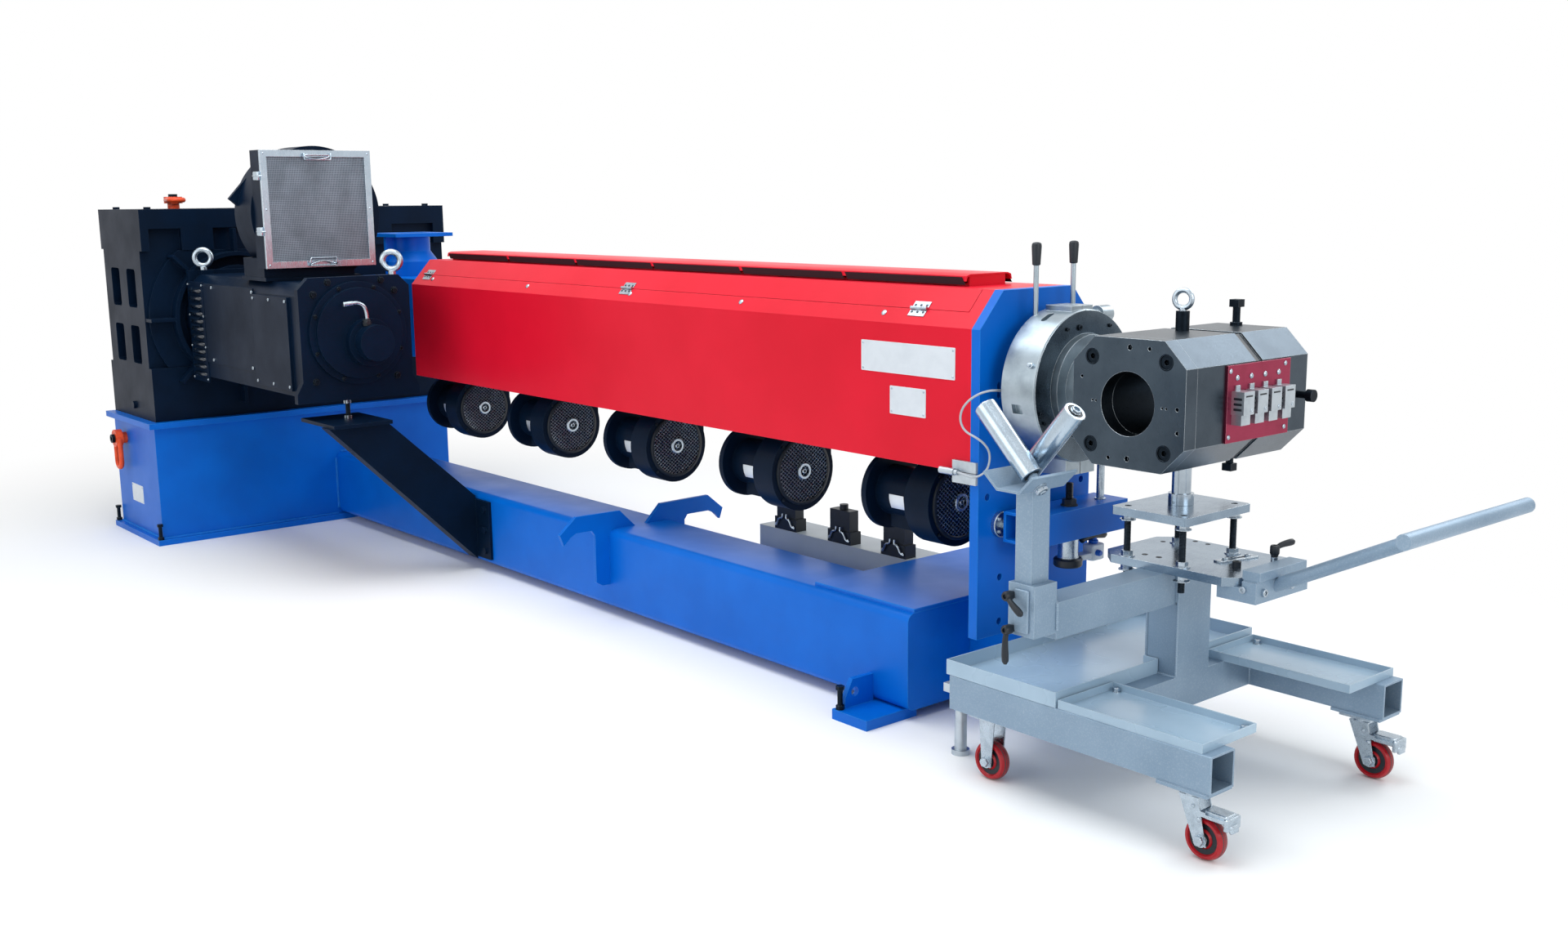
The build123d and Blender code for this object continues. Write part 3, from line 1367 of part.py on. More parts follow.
export_step(clamp_levers.part, "parts/clamp_levers.step")

# Roller post that slides in the socket, with the bent sheet that holds the two rollers
post_bottom = socket_bottom + 8
valley_z = post_top + wing_thick


def wing_tip(lean, along, up):
    """A point of the bent sheet's section, along one wing and up from its top face."""
    angle = math.radians(lean)
    side = math.copysign(1, lean)
    return (
        side * valley_half + math.cos(angle) * along * side - math.sin(angle) * up,
        valley_z + math.sin(abs(angle)) * along + math.cos(angle) * up,
    )


# Guide rollers: each turns on an axle bolted square through one wing of the sheet
def roller_plane(lean, place, y):
    """A plane on a wing's top face whose normal runs along the roller's axis."""
    angle = math.radians(lean)
    run, height = wing_tip(lean, place, 0)
    return Plane(origin=(post_x + run, y, height), x_dir=(0, 1, 0), z_dir=(-math.sin(angle), 0, math.cos(angle)))


roller_offset = roller_radius + roller_side_gap / 2
roller_rows = (
    ("near", near_lean, near_place, near_start, post_y - roller_offset),
    ("far", -far_lean, far_place, far_start, post_y + roller_offset),
)
near_knee = wing_thick * math.tan(math.radians(near_lean) / 2)
far_knee = wing_thick * math.tan(math.radians(far_lean) / 2)
with BuildPart() as roller_post:
    block((post_x - post_length / 2, post_x + post_length / 2), (post_y - post_width / 2, post_y + post_width / 2),
          (post_bottom, post_top + 1))
    with BuildSketch(facing_near(post_y + wing_far, post_x)) as wings:
        with BuildLine():
            Polyline(
                (-valley_half - far_knee, post_top),
                (valley_half + near_knee, post_top),
                wing_tip(near_lean, wing_length, -wing_thick),
                wing_tip(near_lean, wing_length, 0),
                (valley_half, valley_z),
                (-valley_half, valley_z),
                wing_tip(-far_lean, wing_length, 0),
                wing_tip(-far_lean, wing_length, -wing_thick),
                close=True,
            )
        make_face()
    extrude(wings.sketch, amount=wing_far - wing_near)
    for name, lean, place, start, y in roller_rows:
        plane = roller_plane(lean, place, y)
        bar(plane.offset(-wing_thick - 16), roller_axle_radius, start + roller_length + wing_thick + 20)
        bar(plane.offset(-wing_thick - 3), 15, 3)
        hexagon(plane.offset(-wing_thick - 14), 13, 12)
        bar(plane.offset(-3), 13, start - 1)
roller_post.part.label = "roller_post"
export_step(roller_post.part, "parts/roller_post.step")

for name, lean, place, start, y in roller_rows:
    with BuildPart() as guide_roller:
        plane = roller_plane(lean, place, y).offset(start)
        bar(plane, roller_radius, roller_length)
        bar(plane.offset(-1), roller_axle_radius + axle_clearance, roller_length + 2, mode=Mode.SUBTRACT)
    guide_roller.part.label = f"guide_roller_{name}"
    export_step(guide_roller.part, f"parts/guide_roller_{name}.step")


# Drip trays: sheet pans with upright rims
def pan(x, y, bottom, rim):
    """An open pan between the given ends."""
    block(x, y, (bottom, bottom + rim))
    block((x[0] + tray_sheet, x[1] - tray_sheet), (y[0] + tray_sheet, y[1] - tray_sheet),
          (bottom + tray_sheet, bottom + rim + 1), mode=Mode.SUBTRACT)


tray_bottom = frame_top
with BuildPart() as drip_trays:
    pan((large_tray_rear, large_tray_front), (-trolley_half, trolley_half), tray_bottom, large_tray_rim)
    notch = 2
    block((column_rear - notch - tray_sheet, large_tray_front + 1),
          (column_near - notch - tray_sheet, column_far + notch + tray_sheet),
          (tray_bottom, tray_bottom + large_tray_rim))
    block((column_rear - notch, large_tray_front + 1), (column_near - notch, column_far + notch),
          (tray_bottom - 1, tray_bottom + large_tray_rim + 1), mode=Mode.SUBTRACT)
    block((large_tray_front, large_tray_front + 2), (column_near - 20, column_far + 20),
          (tray_bottom - 1, tray_bottom + large_tray_rim + 1), mode=Mode.SUBTRACT)
    for side in (-1, 1):
        edge = side * (trolley_half - 3)
        inner = edge - side * small_tray_width
        pan((small_tray_rear, small_tray_front), (min(edge, inner), max(edge, inner)), tray_bottom, small_tray_rim)
drip_trays.part.label = "drip_trays"
export_step(drip_trays.part, "parts/drip_trays.step")


# Wheels with a worn-in tread crown, and the forks that hold them
def make_wheel(x, y):
    """A wheel on a cross axle, its tread rounded at the sides."""
    with BuildPart() as wheel:
        with BuildSketch(Plane(origin=(x, y, wheel_radius), x_dir=(0, 1, 0), z_dir=(1, 0, 0))) as section:
            with BuildLine():
                half = wheel_width / 2
                Line((-half, axle_radius + axle_clearance), (half, axle_radius + axle_clearance))
                Line((half, axle_radius + axle_clearance), (half, wheel_hub_radius))
                Line((half, wheel_hub_radius), (half - 6, wheel_hub_radius + 4))
                Line((half - 6, wheel_hub_radius + 4), (half - 6, wheel_radius - 16))
                Line((half - 6, wheel_radius - 16), (half, wheel_radius - 12))
                Line((half, wheel_radius - 12), (half, wheel_radius - 6))
                ThreePointArc((half, wheel_radius - 6), (0, wheel_radius), (-half, wheel_radius - 6))
                Line((-half, wheel_radius - 6), (-half, wheel_radius - 12))
                Line((-half, wheel_radius - 12), (-half + 6, wheel_radius - 16))
                Line((-half + 6, wheel_radius - 16), (-half + 6, wheel_hub_radius + 4))
                Line((-half + 6, wheel_hub_radius + 4), (-half, wheel_hub_radius))
                Line((-half, wheel_hub_radius), (-half, axle_radius + axle_clearance))
            make_face()
        revolve(section.sketch, axis=Axis((x, y, wheel_radius), (0, 1, 0)))
    return wheel.part


fork_inner = wheel_width / 2 + fork_gap
fork_outer = fork_inner + fork_wall
fork_neck = 26
race_height = 12
fork_top = frame_bottom - 8 - caster_plate_thick


def fork_sides(x, y, neck_x, top):
    """The two cheeks of a fork, tapering from its crown to the axle, with the axle between them."""
    for side in (-1, 1):
        cheek = y + side * fork_inner
        with BuildSketch(facing_near(max(cheek, cheek + side * fork_wall), x)) as outline:
            with BuildLine():
                Polyline(
                    (-16, wheel_radius - 14),
                    (16, wheel_radius - 14),
                    (neck_x - x + fork_neck, top),
                    (neck_x - x - fork_neck, top),
                    close=True,
                )
            make_face()
        extrude(outline.sketch, amount=fork_wall)
    block((neck_x - fork_neck, neck_x + fork_neck), (y - fork_outer, y + fork_outer), (top - fork_wall, top))
    bar(Plane(origin=(x, y - fork_outer - 8, wheel_radius), z_dir=(0, 1, 0)), axle_radius, 2 * fork_outer + 16)


swivel_top = fork_top - race_height
for name, side in (("near", -1), ("far", 1)):
    y = side * caster_side
    wheel_x = swivel_place + swivel_trail
    wheel = make_wheel(wheel_x, y)
    wheel.label = f"front_wheel_{name}"
    export_step(wheel, f"parts/front_wheel_{name}.step")
    wheel = make_wheel(fixed_place, y)
    wheel.label = f"rear_wheel_{name}"
    export_step(wheel, f"parts/rear_wheel_{name}.step")
    with BuildPart() as swivel_fork:
        fork_sides(wheel_x, y, swivel_place, swivel_top)
        with Locations((swivel_place, y, swivel_top)):
            Cylinder(24, race_height - body_gap, align=(Align.CENTER, Align.CENTER, Align.MIN))
        # Brake pedal over the wheel's front
        block((wheel_x + 8, wheel_x + 66), (y - fork_outer - 2, y + fork_outer + 2), (wheel_radius + 60, wheel_radius + 65))
        block((wheel_x - 4, wheel_x + 12), (y - fork_outer - 2, y + fork_outer + 2), (wheel_radius + 58, wheel_radius + 70))
    swivel_fork.part.label = f"swivel_fork_{name}"
    export_step(swivel_fork.part, f"parts/swivel_fork_{name}.step")

with BuildPart() as fixed_casters:
    for side in (-1, 1):
        y = side * caster_side
        fork_sides(fixed_place, y, fixed_place, frame_bottom - caster_plate_thick)
        block((fixed_place - caster_plate_half, fixed_place + caster_plate_half),
              (y - caster_plate_half, y + caster_plate_half), (frame_bottom - caster_plate_thick, frame_bottom))
        block((swivel_place - caster_plate_half, swivel_place + caster_plate_half),
              (y - caster_plate_half, y + caster_plate_half), (fork_top, frame_bottom - 8))
fixed_casters.part.label = "fixed_casters"
export_step(fixed_casters.part, "parts/fixed_casters.step")

# Jack feet at the trolley's rear: a bracket, a screw and a foot
jack_foot_x = 8
jack_foot_y = 302
with BuildPart() as jack_feet:
    for side in (-1, 1):
        y = side * jack_foot_y
        wall = side * (trolley_half - tube)
        block((jack_foot_x - 38, trolley_rear + 50), (min(wall, wall - side * 64), max(wall, wall - side * 64)),
              (frame_bottom, frame_bottom + 24))
        with Locations((jack_foot_x, y, 0.2)):
            Cylinder(25, 14, align=(Align.CENTER, Align.CENTER, Align.MIN))
            Cylinder(17, frame_bottom + 40, align=(Align.CENTER, Align.CENTER, Align.MIN))
jack_feet.part.label = "jack_feet"
export_step(jack_feet.part, "parts/jack_feet.step")

# Pull handle of the trolley: a rising tube with a cross grip, on a block under the lower table
with BuildPart() as pull_handle:
    with BuildLine() as pull_line:
        Line(pull_foot, pull_end)
    direction = pull_line.line % 0
    with BuildSketch(Plane(origin=pull_foot, z_dir=direction)) as pull_section:
        Circle(pull_stem_radius)
    sweep(pull_section.sketch, path=pull_line.line)
    bar(Plane(origin=(pull_end[0], pull_near, pull_end[2]), z_dir=(0, 1, 0)), pull_radius, pull_far - pull_near)
    # Block under the table's front edge, and the clamping bar on top of it
    block((table_front - 70, table_front), (block_near, block_far), (table_top - table_thick - block_drop, table_top - table_thick))
    block((table_front + 0.3, table_front + 40), (block_near, block_far), (table_top - table_thick - block_drop, table_top - 4))
    block((table_front, table_front + 0.3), (block_near, block_far), (table_top - table_thick - block_drop, table_top - table_thick))
    block((table_front - 3, table_front + 46), (block_near + 6, block_far - 18), (table_top, table_top + 22))
    block((table_front + 0.3, table_front + 40), (block_near + 6, block_far - 18), (table_top - 5, table_top))
pull_handle.part.label = "pull_handle"
export_step(pull_handle.part, "parts/pull_handle.step")

# Arm in front of the plate: a rectangular tube open at its near end, on two pins in the plate
bracket_end = bracket_start + bracket_width
bracket_top = bracket_bottom + bracket_height
with BuildPart() as plate_arm:
    block((bracket_start, bracket_end), (bracket_near, bracket_far), (bracket_bottom, bracket_top))
    block((bracket_start + bracket_wall, bracket_end - bracket_wall), (bracket_near - 1, bracket_far - bracket_wall),
          (bracket_bottom + bracket_wall, bracket_top - bracket_wall), mode=Mode.SUBTRACT)
plate_arm.part.label = "plate_arm"
export_step(plate_arm.part, "parts/plate_arm.step")

pin_z = (bracket_bottom + bracket_top) / 2
with BuildPart() as arm_fittings:
    for y in (bracket_near + 18, bracket_far - 60):
        bar(facing_x(0, y, pin_z), 36, 14)
        bar(facing_x(14, y, pin_z), 14, bracket_start - 14)
    with Locations((bracket_end - 50, bracket_far - 60, bracket_top)):
        Cylinder(11, centre_height - head_half - 60 - bracket_top, align=(Align.CENTER, Align.CENTER, Align.MIN))
    # Lifting cylinder under the arm, with its air valve
    cylinder_y = 25
    with Locations((bracket_end - 50, cylinder_y, bracket_bottom - 62)):
        Cylinder(30, 62, align=(Align.CENTER, Align.CENTER, Align.MIN))
    with Locations((bracket_end - 50, cylinder_y, bracket_bottom - 86)):
        Cylinder(40, 24, align=(Align.CENTER, Align.CENTER, Align.MIN))
    with Locations((bracket_end - 50, cylinder_y, bracket_top)):
        Cylinder(11, 62, align=(Align.CENTER, Align.CENTER, Align.MIN))
    hexagon(Plane.XY.offset(bracket_top + 4).move(Location((bracket_end - 50, cylinder_y, 0))), 18, 16)
    valve_y = 128
    block((bracket_end - 68, bracket_end - 32), (cylinder_y + 39, valve_y), (bracket_bottom - 78, bracket_bottom - 60))
    block((bracket_end - 72, bracket_end - 28), (valve_y - 20, valve_y + 34), (bracket_bottom - 86, bracket_bottom - 38))
    with Locations(Location((bracket_end - 50, valve_y - 50, bracket_bottom - 22), (-90, 0, 0))):
        Cone(9, 11, 110, align=(Align.CENTER, Align.CENTER, Align.MIN))
    with Locations((bracket_end - 50, valve_y + 7, bracket_bottom - 40)):
        Cylinder(14, 18, align=(Align.CENTER, Align.CENTER, Align.MIN))
arm_fittings.part.label = "arm_fittings"
export_step(arm_fittings.part, "parts/arm_fittings.step")

# Junction box on the cross box's rear face, with three upright connectors
with BuildPart() as junction_box:
    block((box_rear, pad_rear), (box_near, box_near + box_depth), (box_top - box_height, box_top))
    fillet(junction_box.edges().filter_by(Axis.Z), radius=4)
junction_box.part.label = "junction_box"
export_step(junction_box.part, "parts/junction_box.step")

with BuildPart() as box_connectors:
    for place in box_connector_places:
        x = box_rear + place
        y = box_near + 26
        block((x - 58, x + 58), (y - 24, y + 24), (box_top, box_top + 44))
        block((x - 50, x + 50), (y - 20, y + 20), (box_top + 44, box_top + box_connector_height))
        with Locations((x, y, box_top + box_connector_height)):
            Cylinder(15, 18, align=(Align.CENTER, Align.CENTER, Align.MIN))
box_connectors.part.label = "box_connectors"
export_step(box_connectors.part, "parts/box_connectors.step")

# Two-piece bracket at the plate's near edge, with the sensor's plug held against it
bracket_gap = 2
with BuildPart() as sensor_bracket:
    half = sensor_bracket_height / 2
    for low in (sensor_plug_z - half - bracket_gap / 2, sensor_plug_z + bracket_gap / 2):
        block((sensor_bracket_rear, sensor_bracket_front), (-plate_half - sensor_bracket_thick, -plate_half),
              (low, low + half))
sensor_bracket.part.label = "sensor_bracket"
export_step(sensor_bracket.part, "parts/sensor_bracket.step")

plug_face = cable_route[-1][0]
with BuildPart() as sensor_plug:
    bar(facing_x(plug_face - sensor_plug_length, sensor_plug_y, sensor_plug_z), sensor_plug_radius,
        sensor_plug_length - 12)
    bar(facing_x(plug_face - 12, sensor_plug_y, sensor_plug_z), sensor_plug_radius - 3, 12)
sensor_plug.part.label = "sensor_plug"
export_step(sensor_plug.part, "parts/sensor_plug.step")

# Sensor cable from the plate's slot round its near edge to the plug
corner_radii = []
for before, corner, after in zip(cable_route, cable_route[1:], cable_route[2:]):
    first = Vector(*corner) - Vector(*before)
    second = Vector(*after) - Vector(*corner)
    shorter = min(first.length, second.length)
    half_turn = math.radians(first.get_angle(second)) / 2
    corner_radii.append(0.45 * shorter / math.tan(half_turn))
print("cable corner radii", [round(radius) for radius in corner_radii])
with BuildPart() as sensor_cable:
    with BuildLine() as cable_path:
        FilletPolyline(*cable_route, radius=corner_radii)
    with BuildSketch(Plane(origin=cable_path.line @ 0, z_dir=cable_path.line % 0)) as cable_section:
        Circle(cable_radius)
    sweep(cable_section.sketch, path=cable_path.line)
sensor_cable.part.label = "sensor_cable"
export_step(sensor_cable.part, "parts/sensor_cable.step")
cable_length = sum(edge.length for edge in cable_path.edges())
print("cable length", round(cable_length, 1))
cable_section_area = math.pi * cable_radius ** 2
print("volume over section times length", round(sensor_cable.part.volume / cable_section_area / cable_length, 4))
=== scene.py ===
import json
import math

import bpy
import numpy as np
from mathutils import Matrix, Vector


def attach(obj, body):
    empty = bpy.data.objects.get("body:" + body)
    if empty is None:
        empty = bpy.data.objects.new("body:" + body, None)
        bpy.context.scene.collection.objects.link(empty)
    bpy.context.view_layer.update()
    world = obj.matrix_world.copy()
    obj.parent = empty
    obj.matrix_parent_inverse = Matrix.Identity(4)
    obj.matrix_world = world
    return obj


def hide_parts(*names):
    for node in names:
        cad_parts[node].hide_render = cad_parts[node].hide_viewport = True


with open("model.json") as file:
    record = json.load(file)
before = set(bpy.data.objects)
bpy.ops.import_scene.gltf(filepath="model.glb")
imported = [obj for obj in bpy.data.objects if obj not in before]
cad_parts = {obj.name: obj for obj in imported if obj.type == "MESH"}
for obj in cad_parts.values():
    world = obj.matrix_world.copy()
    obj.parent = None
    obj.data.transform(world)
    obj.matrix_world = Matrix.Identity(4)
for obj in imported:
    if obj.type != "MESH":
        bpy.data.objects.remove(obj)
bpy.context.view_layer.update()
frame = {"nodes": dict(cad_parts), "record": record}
nodes = frame["nodes"]

mm = 0.001

# Camera: where the photograph was taken from, in metres and degrees
photo_width = 1920
focal_pixels = 1856.905
camera_place = (2.72807, -3.21338, 1.51167)
camera_azimuth = 49.91
camera_pitch = 10.14
camera_roll = -0.615
sensor_width = 36.0

# Main places of the machine, in millimetres: X along the barrel, Y across, Z up
near, far, rear, forward, up, down = (0, -1, 0), (0, 1, 0), (-1, 0, 0), (1, 0, 0), (0, 0, 1), (0, 0, -1)
barrel_height = 1000
plate_half = 234
cover_out, cover_up = (0, -0.743, 0.669), (0, 0.669, 0.743)
seam_side, seam_height = 198, 1196
roof_height = 1256
lid_vent_ends, vent_bays = (-3187, -189), 6
beam_near, beam_far, beam_bottom, beam_top = -236, 45, 31, 323
beam_rear = -4140
pedestal_near = -1070
motor_face, motor_front = -893, -2895
motor_axis = -660
sensor_x = -2812
filter_front = -3177
blower_starts, blower_length = [-3272 + 690 * k for k in range(5)], 290
blower_side, blower_height = -70, 637
ring_front = 165
crosshead_near, crosshead_half = -202, 165
connector_face = 631
arm_pin_height = 619.5
table_top, tray_top = 578, 271
socket_near = -567
roller_length = 206
wheel_radius = 52
caster_side = 372
fixed_wheel, swivel_wheel = 187, 842


def new_object(name, data):
    """Makes an object of the data and puts it into the scene."""
    made = bpy.data.objects.new(name, data)
    bpy.context.scene.collection.objects.link(made)
    return made


def place_camera():
    """Puts the camera at its place: back points from the object to the camera, right and up follow the roll."""
    azimuth, pitch, roll = (math.radians(a) for a in (camera_azimuth, camera_pitch, camera_roll))
    back = Vector((math.sin(azimuth) * math.cos(pitch), -math.cos(azimuth) * math.cos(pitch), math.sin(pitch)))
    level = Vector((math.cos(azimuth), math.sin(azimuth), 0))
    upright = back.cross(level)
    right = level * math.cos(roll) + upright * math.sin(roll)
    top = upright * math.cos(roll) - level * math.sin(roll)
    lens = bpy.data.cameras.new("photograph_camera")
    lens.sensor_width = sensor_width
    lens.lens = focal_pixels * sensor_width / photo_width
    lens.clip_start = 0.05
    lens.clip_end = 200
    camera = new_object("photograph_camera", lens)
    turned_to = Matrix((right, top, back)).transposed().to_4x4()
    camera.matrix_world = Matrix.Translation(camera_place) @ turned_to
    bpy.context.scene.camera = camera


# Sensor cable: it leaves the clamp ring, hangs in one loop and ends in the plug on its bracket
sensor_route = [
    (-12, -154, 988), (9, -155, 988), (23, -171, 990), (29, -195, 994), (26, -223, 996), (12, -248, 989),
    (-14, -261, 970), (-40, -261, 942), (-48, -258, 910), (-30, -257, 883), (6, -250, 870), (17, -231, 853),
    (20, -214, 830), (18, -210, 803), (15, -218, 779), (10, -240, 765), (-7, -254, 761), (-26, -256, 764),
    (-43, -254.2, 768), (-58, -254.2, 768),
]
sensor_cable_radius = 3


def lay_sensor_cable(jacket):
    """One smooth spline through the loop, as thick as the cable."""
    line = bpy.data.curves.new("sensor_lead", "CURVE")
    line.dimensions = "3D"
    line.bevel_depth = sensor_cable_radius * mm
    line.bevel_resolution = 6
    line.resolution_u = 12
    line.use_fill_caps = True
    spline = line.splines.new("NURBS")
    spline.points.add(len(sensor_route) - 1)
    for point, place in zip(spline.points, sensor_route):
        point.co = (*(p * mm for p in place), 1)
    spline.order_u = 3
    spline.use_endpoint_u = True
    lead = new_object("sensor_lead", line)
    line.materials.append(jacket)
    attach(lead, "machine")
    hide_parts("sensor_cable")


def linear(code):
    """An sRGB hex colour as linear red, green, blue and alpha."""
    parts = [int(code[i:i + 2], 16) / 255 for i in (1, 3, 5)]
    return tuple(p / 12.92 if p <= 0.04045 else ((p + 0.055) / 1.055) ** 2.4 for p in parts) + (1.0,)


def add(tree, kind, inputs=None, **settings):
    """Adds one shader node with its settings. Inputs maps a socket to a value, or to the node or output that
    feeds it."""
    made = tree.nodes.new("ShaderNode" + kind)
    for name, value in settings.items():
        setattr(made, name, value)
    for socket, value in (inputs or {}).items():
        if isinstance(value, bpy.types.Node):
            value = value.outputs[0]
        if isinstance(value, bpy.types.NodeSocket):
            tree.links.new(value, made.inputs[socket])
        else:
            made.inputs[socket].default_value = value
    return made


def new_material(name):
    """An empty material: its tree, and the object coordinates that its patterns read."""
    material = bpy.data.materials.new(name)
    material.use_nodes = True
    tree = material.node_tree
    tree.nodes.clear()
    return material, tree, add(tree, "TexCoord").outputs["Object"]


def per(size):
    """How often a pattern of that size in millimetres comes in a metre."""
    return 1000 / size


def edges_of(tree, radius):
    """Normals rounded over the real edge radius, and a share that is 1 on the rounding and 0 on flat faces."""
    rounded_normal = add(tree, "Bevel", {"Radius": radius * mm}, samples=4)
    face_normal = add(tree, "NewGeometry").outputs["Normal"]
    alike = add(tree, "VectorMath", {0: rounded_normal, 1: face_normal}, operation="DOT_PRODUCT")
    share = add(tree, "MapRange", {"Value": alike.outputs["Value"], "From Min": 0.995, "From Max": 0.90})
    return rounded_normal, share


def enamel(name, colour, shade, thin_and_lit_edge_colour, gloss, peel, peel_depth, patch=260, fleck=0.0, metallic=0.0, shine=0.3,
           edge=2.0):
    """Sprayed paint: a colour that drifts to its shade over hand-sized patches, orange peel, and edges that catch
    the light over their rounding and are lightened towards the edge colour, partly paint wearing thinner there and
    partly a painted highlight."""
    material, tree, place = new_material(name)
    normal, thin_and_lit_edge = edges_of(tree, edge)
    drift = add(tree, "TexNoise", {"Vector": place, "Scale": per(patch), "Detail": 3.0, "Roughness": 0.55})
    drifted = add(tree, "MapRange", {"Value": drift, "From Min": 0.35, "From Max": 0.68})
    tone = add(tree, "Mix", {"Factor": drifted, 6: linear(colour), 7: linear(shade)}, data_type="RGBA")
    grains = add(tree, "TexNoise", {"Vector": place, "Scale": per(peel)})
    if fleck:
        spots = add(tree, "MapRange", {"Value": grains, "From Min": 0.5, "From Max": 0.8, "To Max": fleck})
        tone = add(tree, "Mix", {"Factor": spots, 6: tone.outputs[2], 7: (1, 1, 1, 1)}, data_type="RGBA")
    # Edges lighten towards the edge colour: partly paint wearing thinner there, partly a painted highlight on the
    # rounding
    thin_and_lit_share = add(tree, "MapRange", {"Value": thin_and_lit_edge, "To Max": 0.55})
    tone = add(tree, "Mix", {"Factor": thin_and_lit_share, 6: tone.outputs[2], 7: linear(thin_and_lit_edge_colour)}, data_type="RGBA")
    rough = add(tree, "MapRange", {"Value": drift, "From Min": 0.3, "From Max": 0.7,
                                   "To Min": gloss - 0.04, "To Max": gloss + 0.06})
    waves = add(tree, "Bump", {"Height": grains, "Distance": peel_depth * mm, "Normal": normal})
    shader = add(tree, "BsdfPrincipled", {"Base Color": tone.outputs[2], "Roughness": rough, "Normal": waves,
                                          "Metallic": metallic, "Specular IOR Level": shine})
    add(tree, "OutputMaterial", {"Surface": shader})
    return material


def cut_metal(name, colour, stain, bright, rough, stretch, line, line_depth, patch=90, stain_share=0.6, edge=1.5):
    """Bare cut metal: fine lines drawn out along one direction by stretch, oil stains in patches, and edges
    lightened towards a bright colour over their rounding, partly where handling has burnished them and partly as a
    painted highlight."""
    material, tree, place = new_material(name)
    normal, rubbed_and_lit_edge = edges_of(tree, edge)
    lay = add(tree, "Mapping", {"Vector": place, "Scale": stretch})
    lines = add(tree, "TexNoise", {"Vector": lay, "Scale": per(line), "Detail": 4.0, "Roughness": 0.7})
    stains = add(tree, "TexNoise", {"Vector": place, "Scale": per(patch), "Detail": 5.0, "Roughness": 0.6})
    stained = add(tree, "MapRange", {"Value": stains, "From Min": 0.42, "From Max": 0.72, "To Max": stain_share})
    base = add(tree, "Mix", {"Factor": stained, 6: linear(colour), 7: linear(stain)}, data_type="RGBA")
    # Edges lighten towards the bright colour: partly burnished by handling, partly a painted highlight on the
    # rounding
    rubbed_and_lit_share = add(tree, "MapRange", {"Value": rubbed_and_lit_edge, "To Max": 0.8})
    tone = add(tree, "Mix", {"Factor": rubbed_and_lit_share, 6: base.outputs[2], 7: linear(bright)}, data_type="RGBA")
    lined = add(tree, "MapRange", {"Value": lines, "From Min": 0.3, "From Max": 0.7,
                                   "To Min": rough - 0.07, "To Max": rough + 0.09})
    grooves = add(tree, "Bump", {"Height": lines, "Distance": line_depth * mm, "Normal": normal})
    shader = add(tree, "BsdfPrincipled", {"Base Color": tone.outputs[2], "Metallic": 1.0, "Roughness": lined,
                                          "Normal": grooves})
    add(tree, "OutputMaterial", {"Surface": shader})
    return material


def moulded(name, colour, shade, rough, grain, grain_depth, shine=0.4):
    """Moulded plastic or rubber: an even colour with a fine dull grain."""
    material, tree, place = new_material(name)
    grains = add(tree, "TexNoise", {"Vector": place, "Scale": per(grain)})
    drift = add(tree, "TexNoise", {"Vector": place, "Scale": per(40), "Detail": 3.0})
    base = add(tree, "Mix", {"Factor": drift, 6: linear(colour), 7: linear(shade)}, data_type="RGBA")
    dull = add(tree, "MapRange", {"Value": drift, "To Min": rough - 0.05, "To Max": rough + 0.05})
    bump = add(tree, "Bump", {"Height": grains, "Distance": grain_depth * mm})
    shader = add(tree, "BsdfPrincipled", {"Base Color": base.outputs[2], "Roughness": dull, "Normal": bump,
                                          "Specular IOR Level": shine})
    add(tree, "OutputMaterial", {"Surface": shader})
    return material


def woven_wire(name, wire, gap, pitch):
    """Woven wire cloth: two crossing sets of round wires, drawn at twice the real pitch so that they show."""
    material, tree, place = new_material(name)
    apart = add(tree, "SeparateXYZ", {"Vector": place})
    wires = []
    for axis in ("Y", "Z"):
        turns = add(tree, "Math", {0: apart.outputs[axis], 1: 2 * math.pi * per(pitch)}, operation="MULTIPLY")
        wires.append(add(tree, "Math", {0: turns}, operation="SINE"))
    raised = add(tree, "Math", {0: wires[0], 1: wires[1]}, operation="MAXIMUM")
    cover = add(tree, "MapRange", {"Value": raised, "From Min": -0.1, "From Max": 0.6})
    dust = add(tree, "TexNoise", {"Vector": place, "Scale": per(70), "Detail": 4.0})
    tone = add(tree, "Mix", {"Factor": cover, 6: linear(gap), 7: linear(wire)}, data_type="RGBA")
    dusty = add(tree, "MapRange", {"Value": dust, "From Min": 0.4, "From Max": 0.8, "To Max": 0.35})
    tone = add(tree, "Mix", {"Factor": dusty, 6: tone.outputs[2], 7: linear(gap)}, data_type="RGBA")
    bump = add(tree, "Bump", {"Height": cover, "Distance": 0.6 * mm})
    shader = add(tree, "BsdfPrincipled", {"Base Color": tone.outputs[2], "Metallic": 0.7, "Roughness": 0.45,
                                          "Normal": bump})
    add(tree, "OutputMaterial", {"Surface": shader})
    return material


# Two-pack enamel on welded steel: a deep bright blue with a soft gloss, paler over edges where the paint wears
# thinner and where a highlight is painted
blue_enamel = enamel("blue_two_pack_enamel", "#0068CE", "#0060C2", "#38A4EE", 0.36, 7, 0.05, shine=0.16,
                     edge=3)
# Powder coat on folded sheet: clear red, smoother than the enamels
red_powder = enamel("red_powder_coat", "#DC132E", "#D21029", "#F4505F", 0.34, 9, 0.03, patch=420, shine=0.15)
# Machine enamel over a sand casting: blue-black, with the sand's grain showing through
black_casting = enamel("black_enamel_on_casting", "#07192E", "#051426", "#23364A", 0.40, 5, 0.30, patch=180,
                       shine=0.07)
# Silver-grey enamel on square tubes: a dull metal flake in a blue-grey body
silver_enamel = enamel("silver_grey_enamel", "#8CA2B6", "#7D94A9", "#C4D6E4", 0.42, 4, 0.05, fleck=0.10,
                       metallic=0.35, shine=0.4)
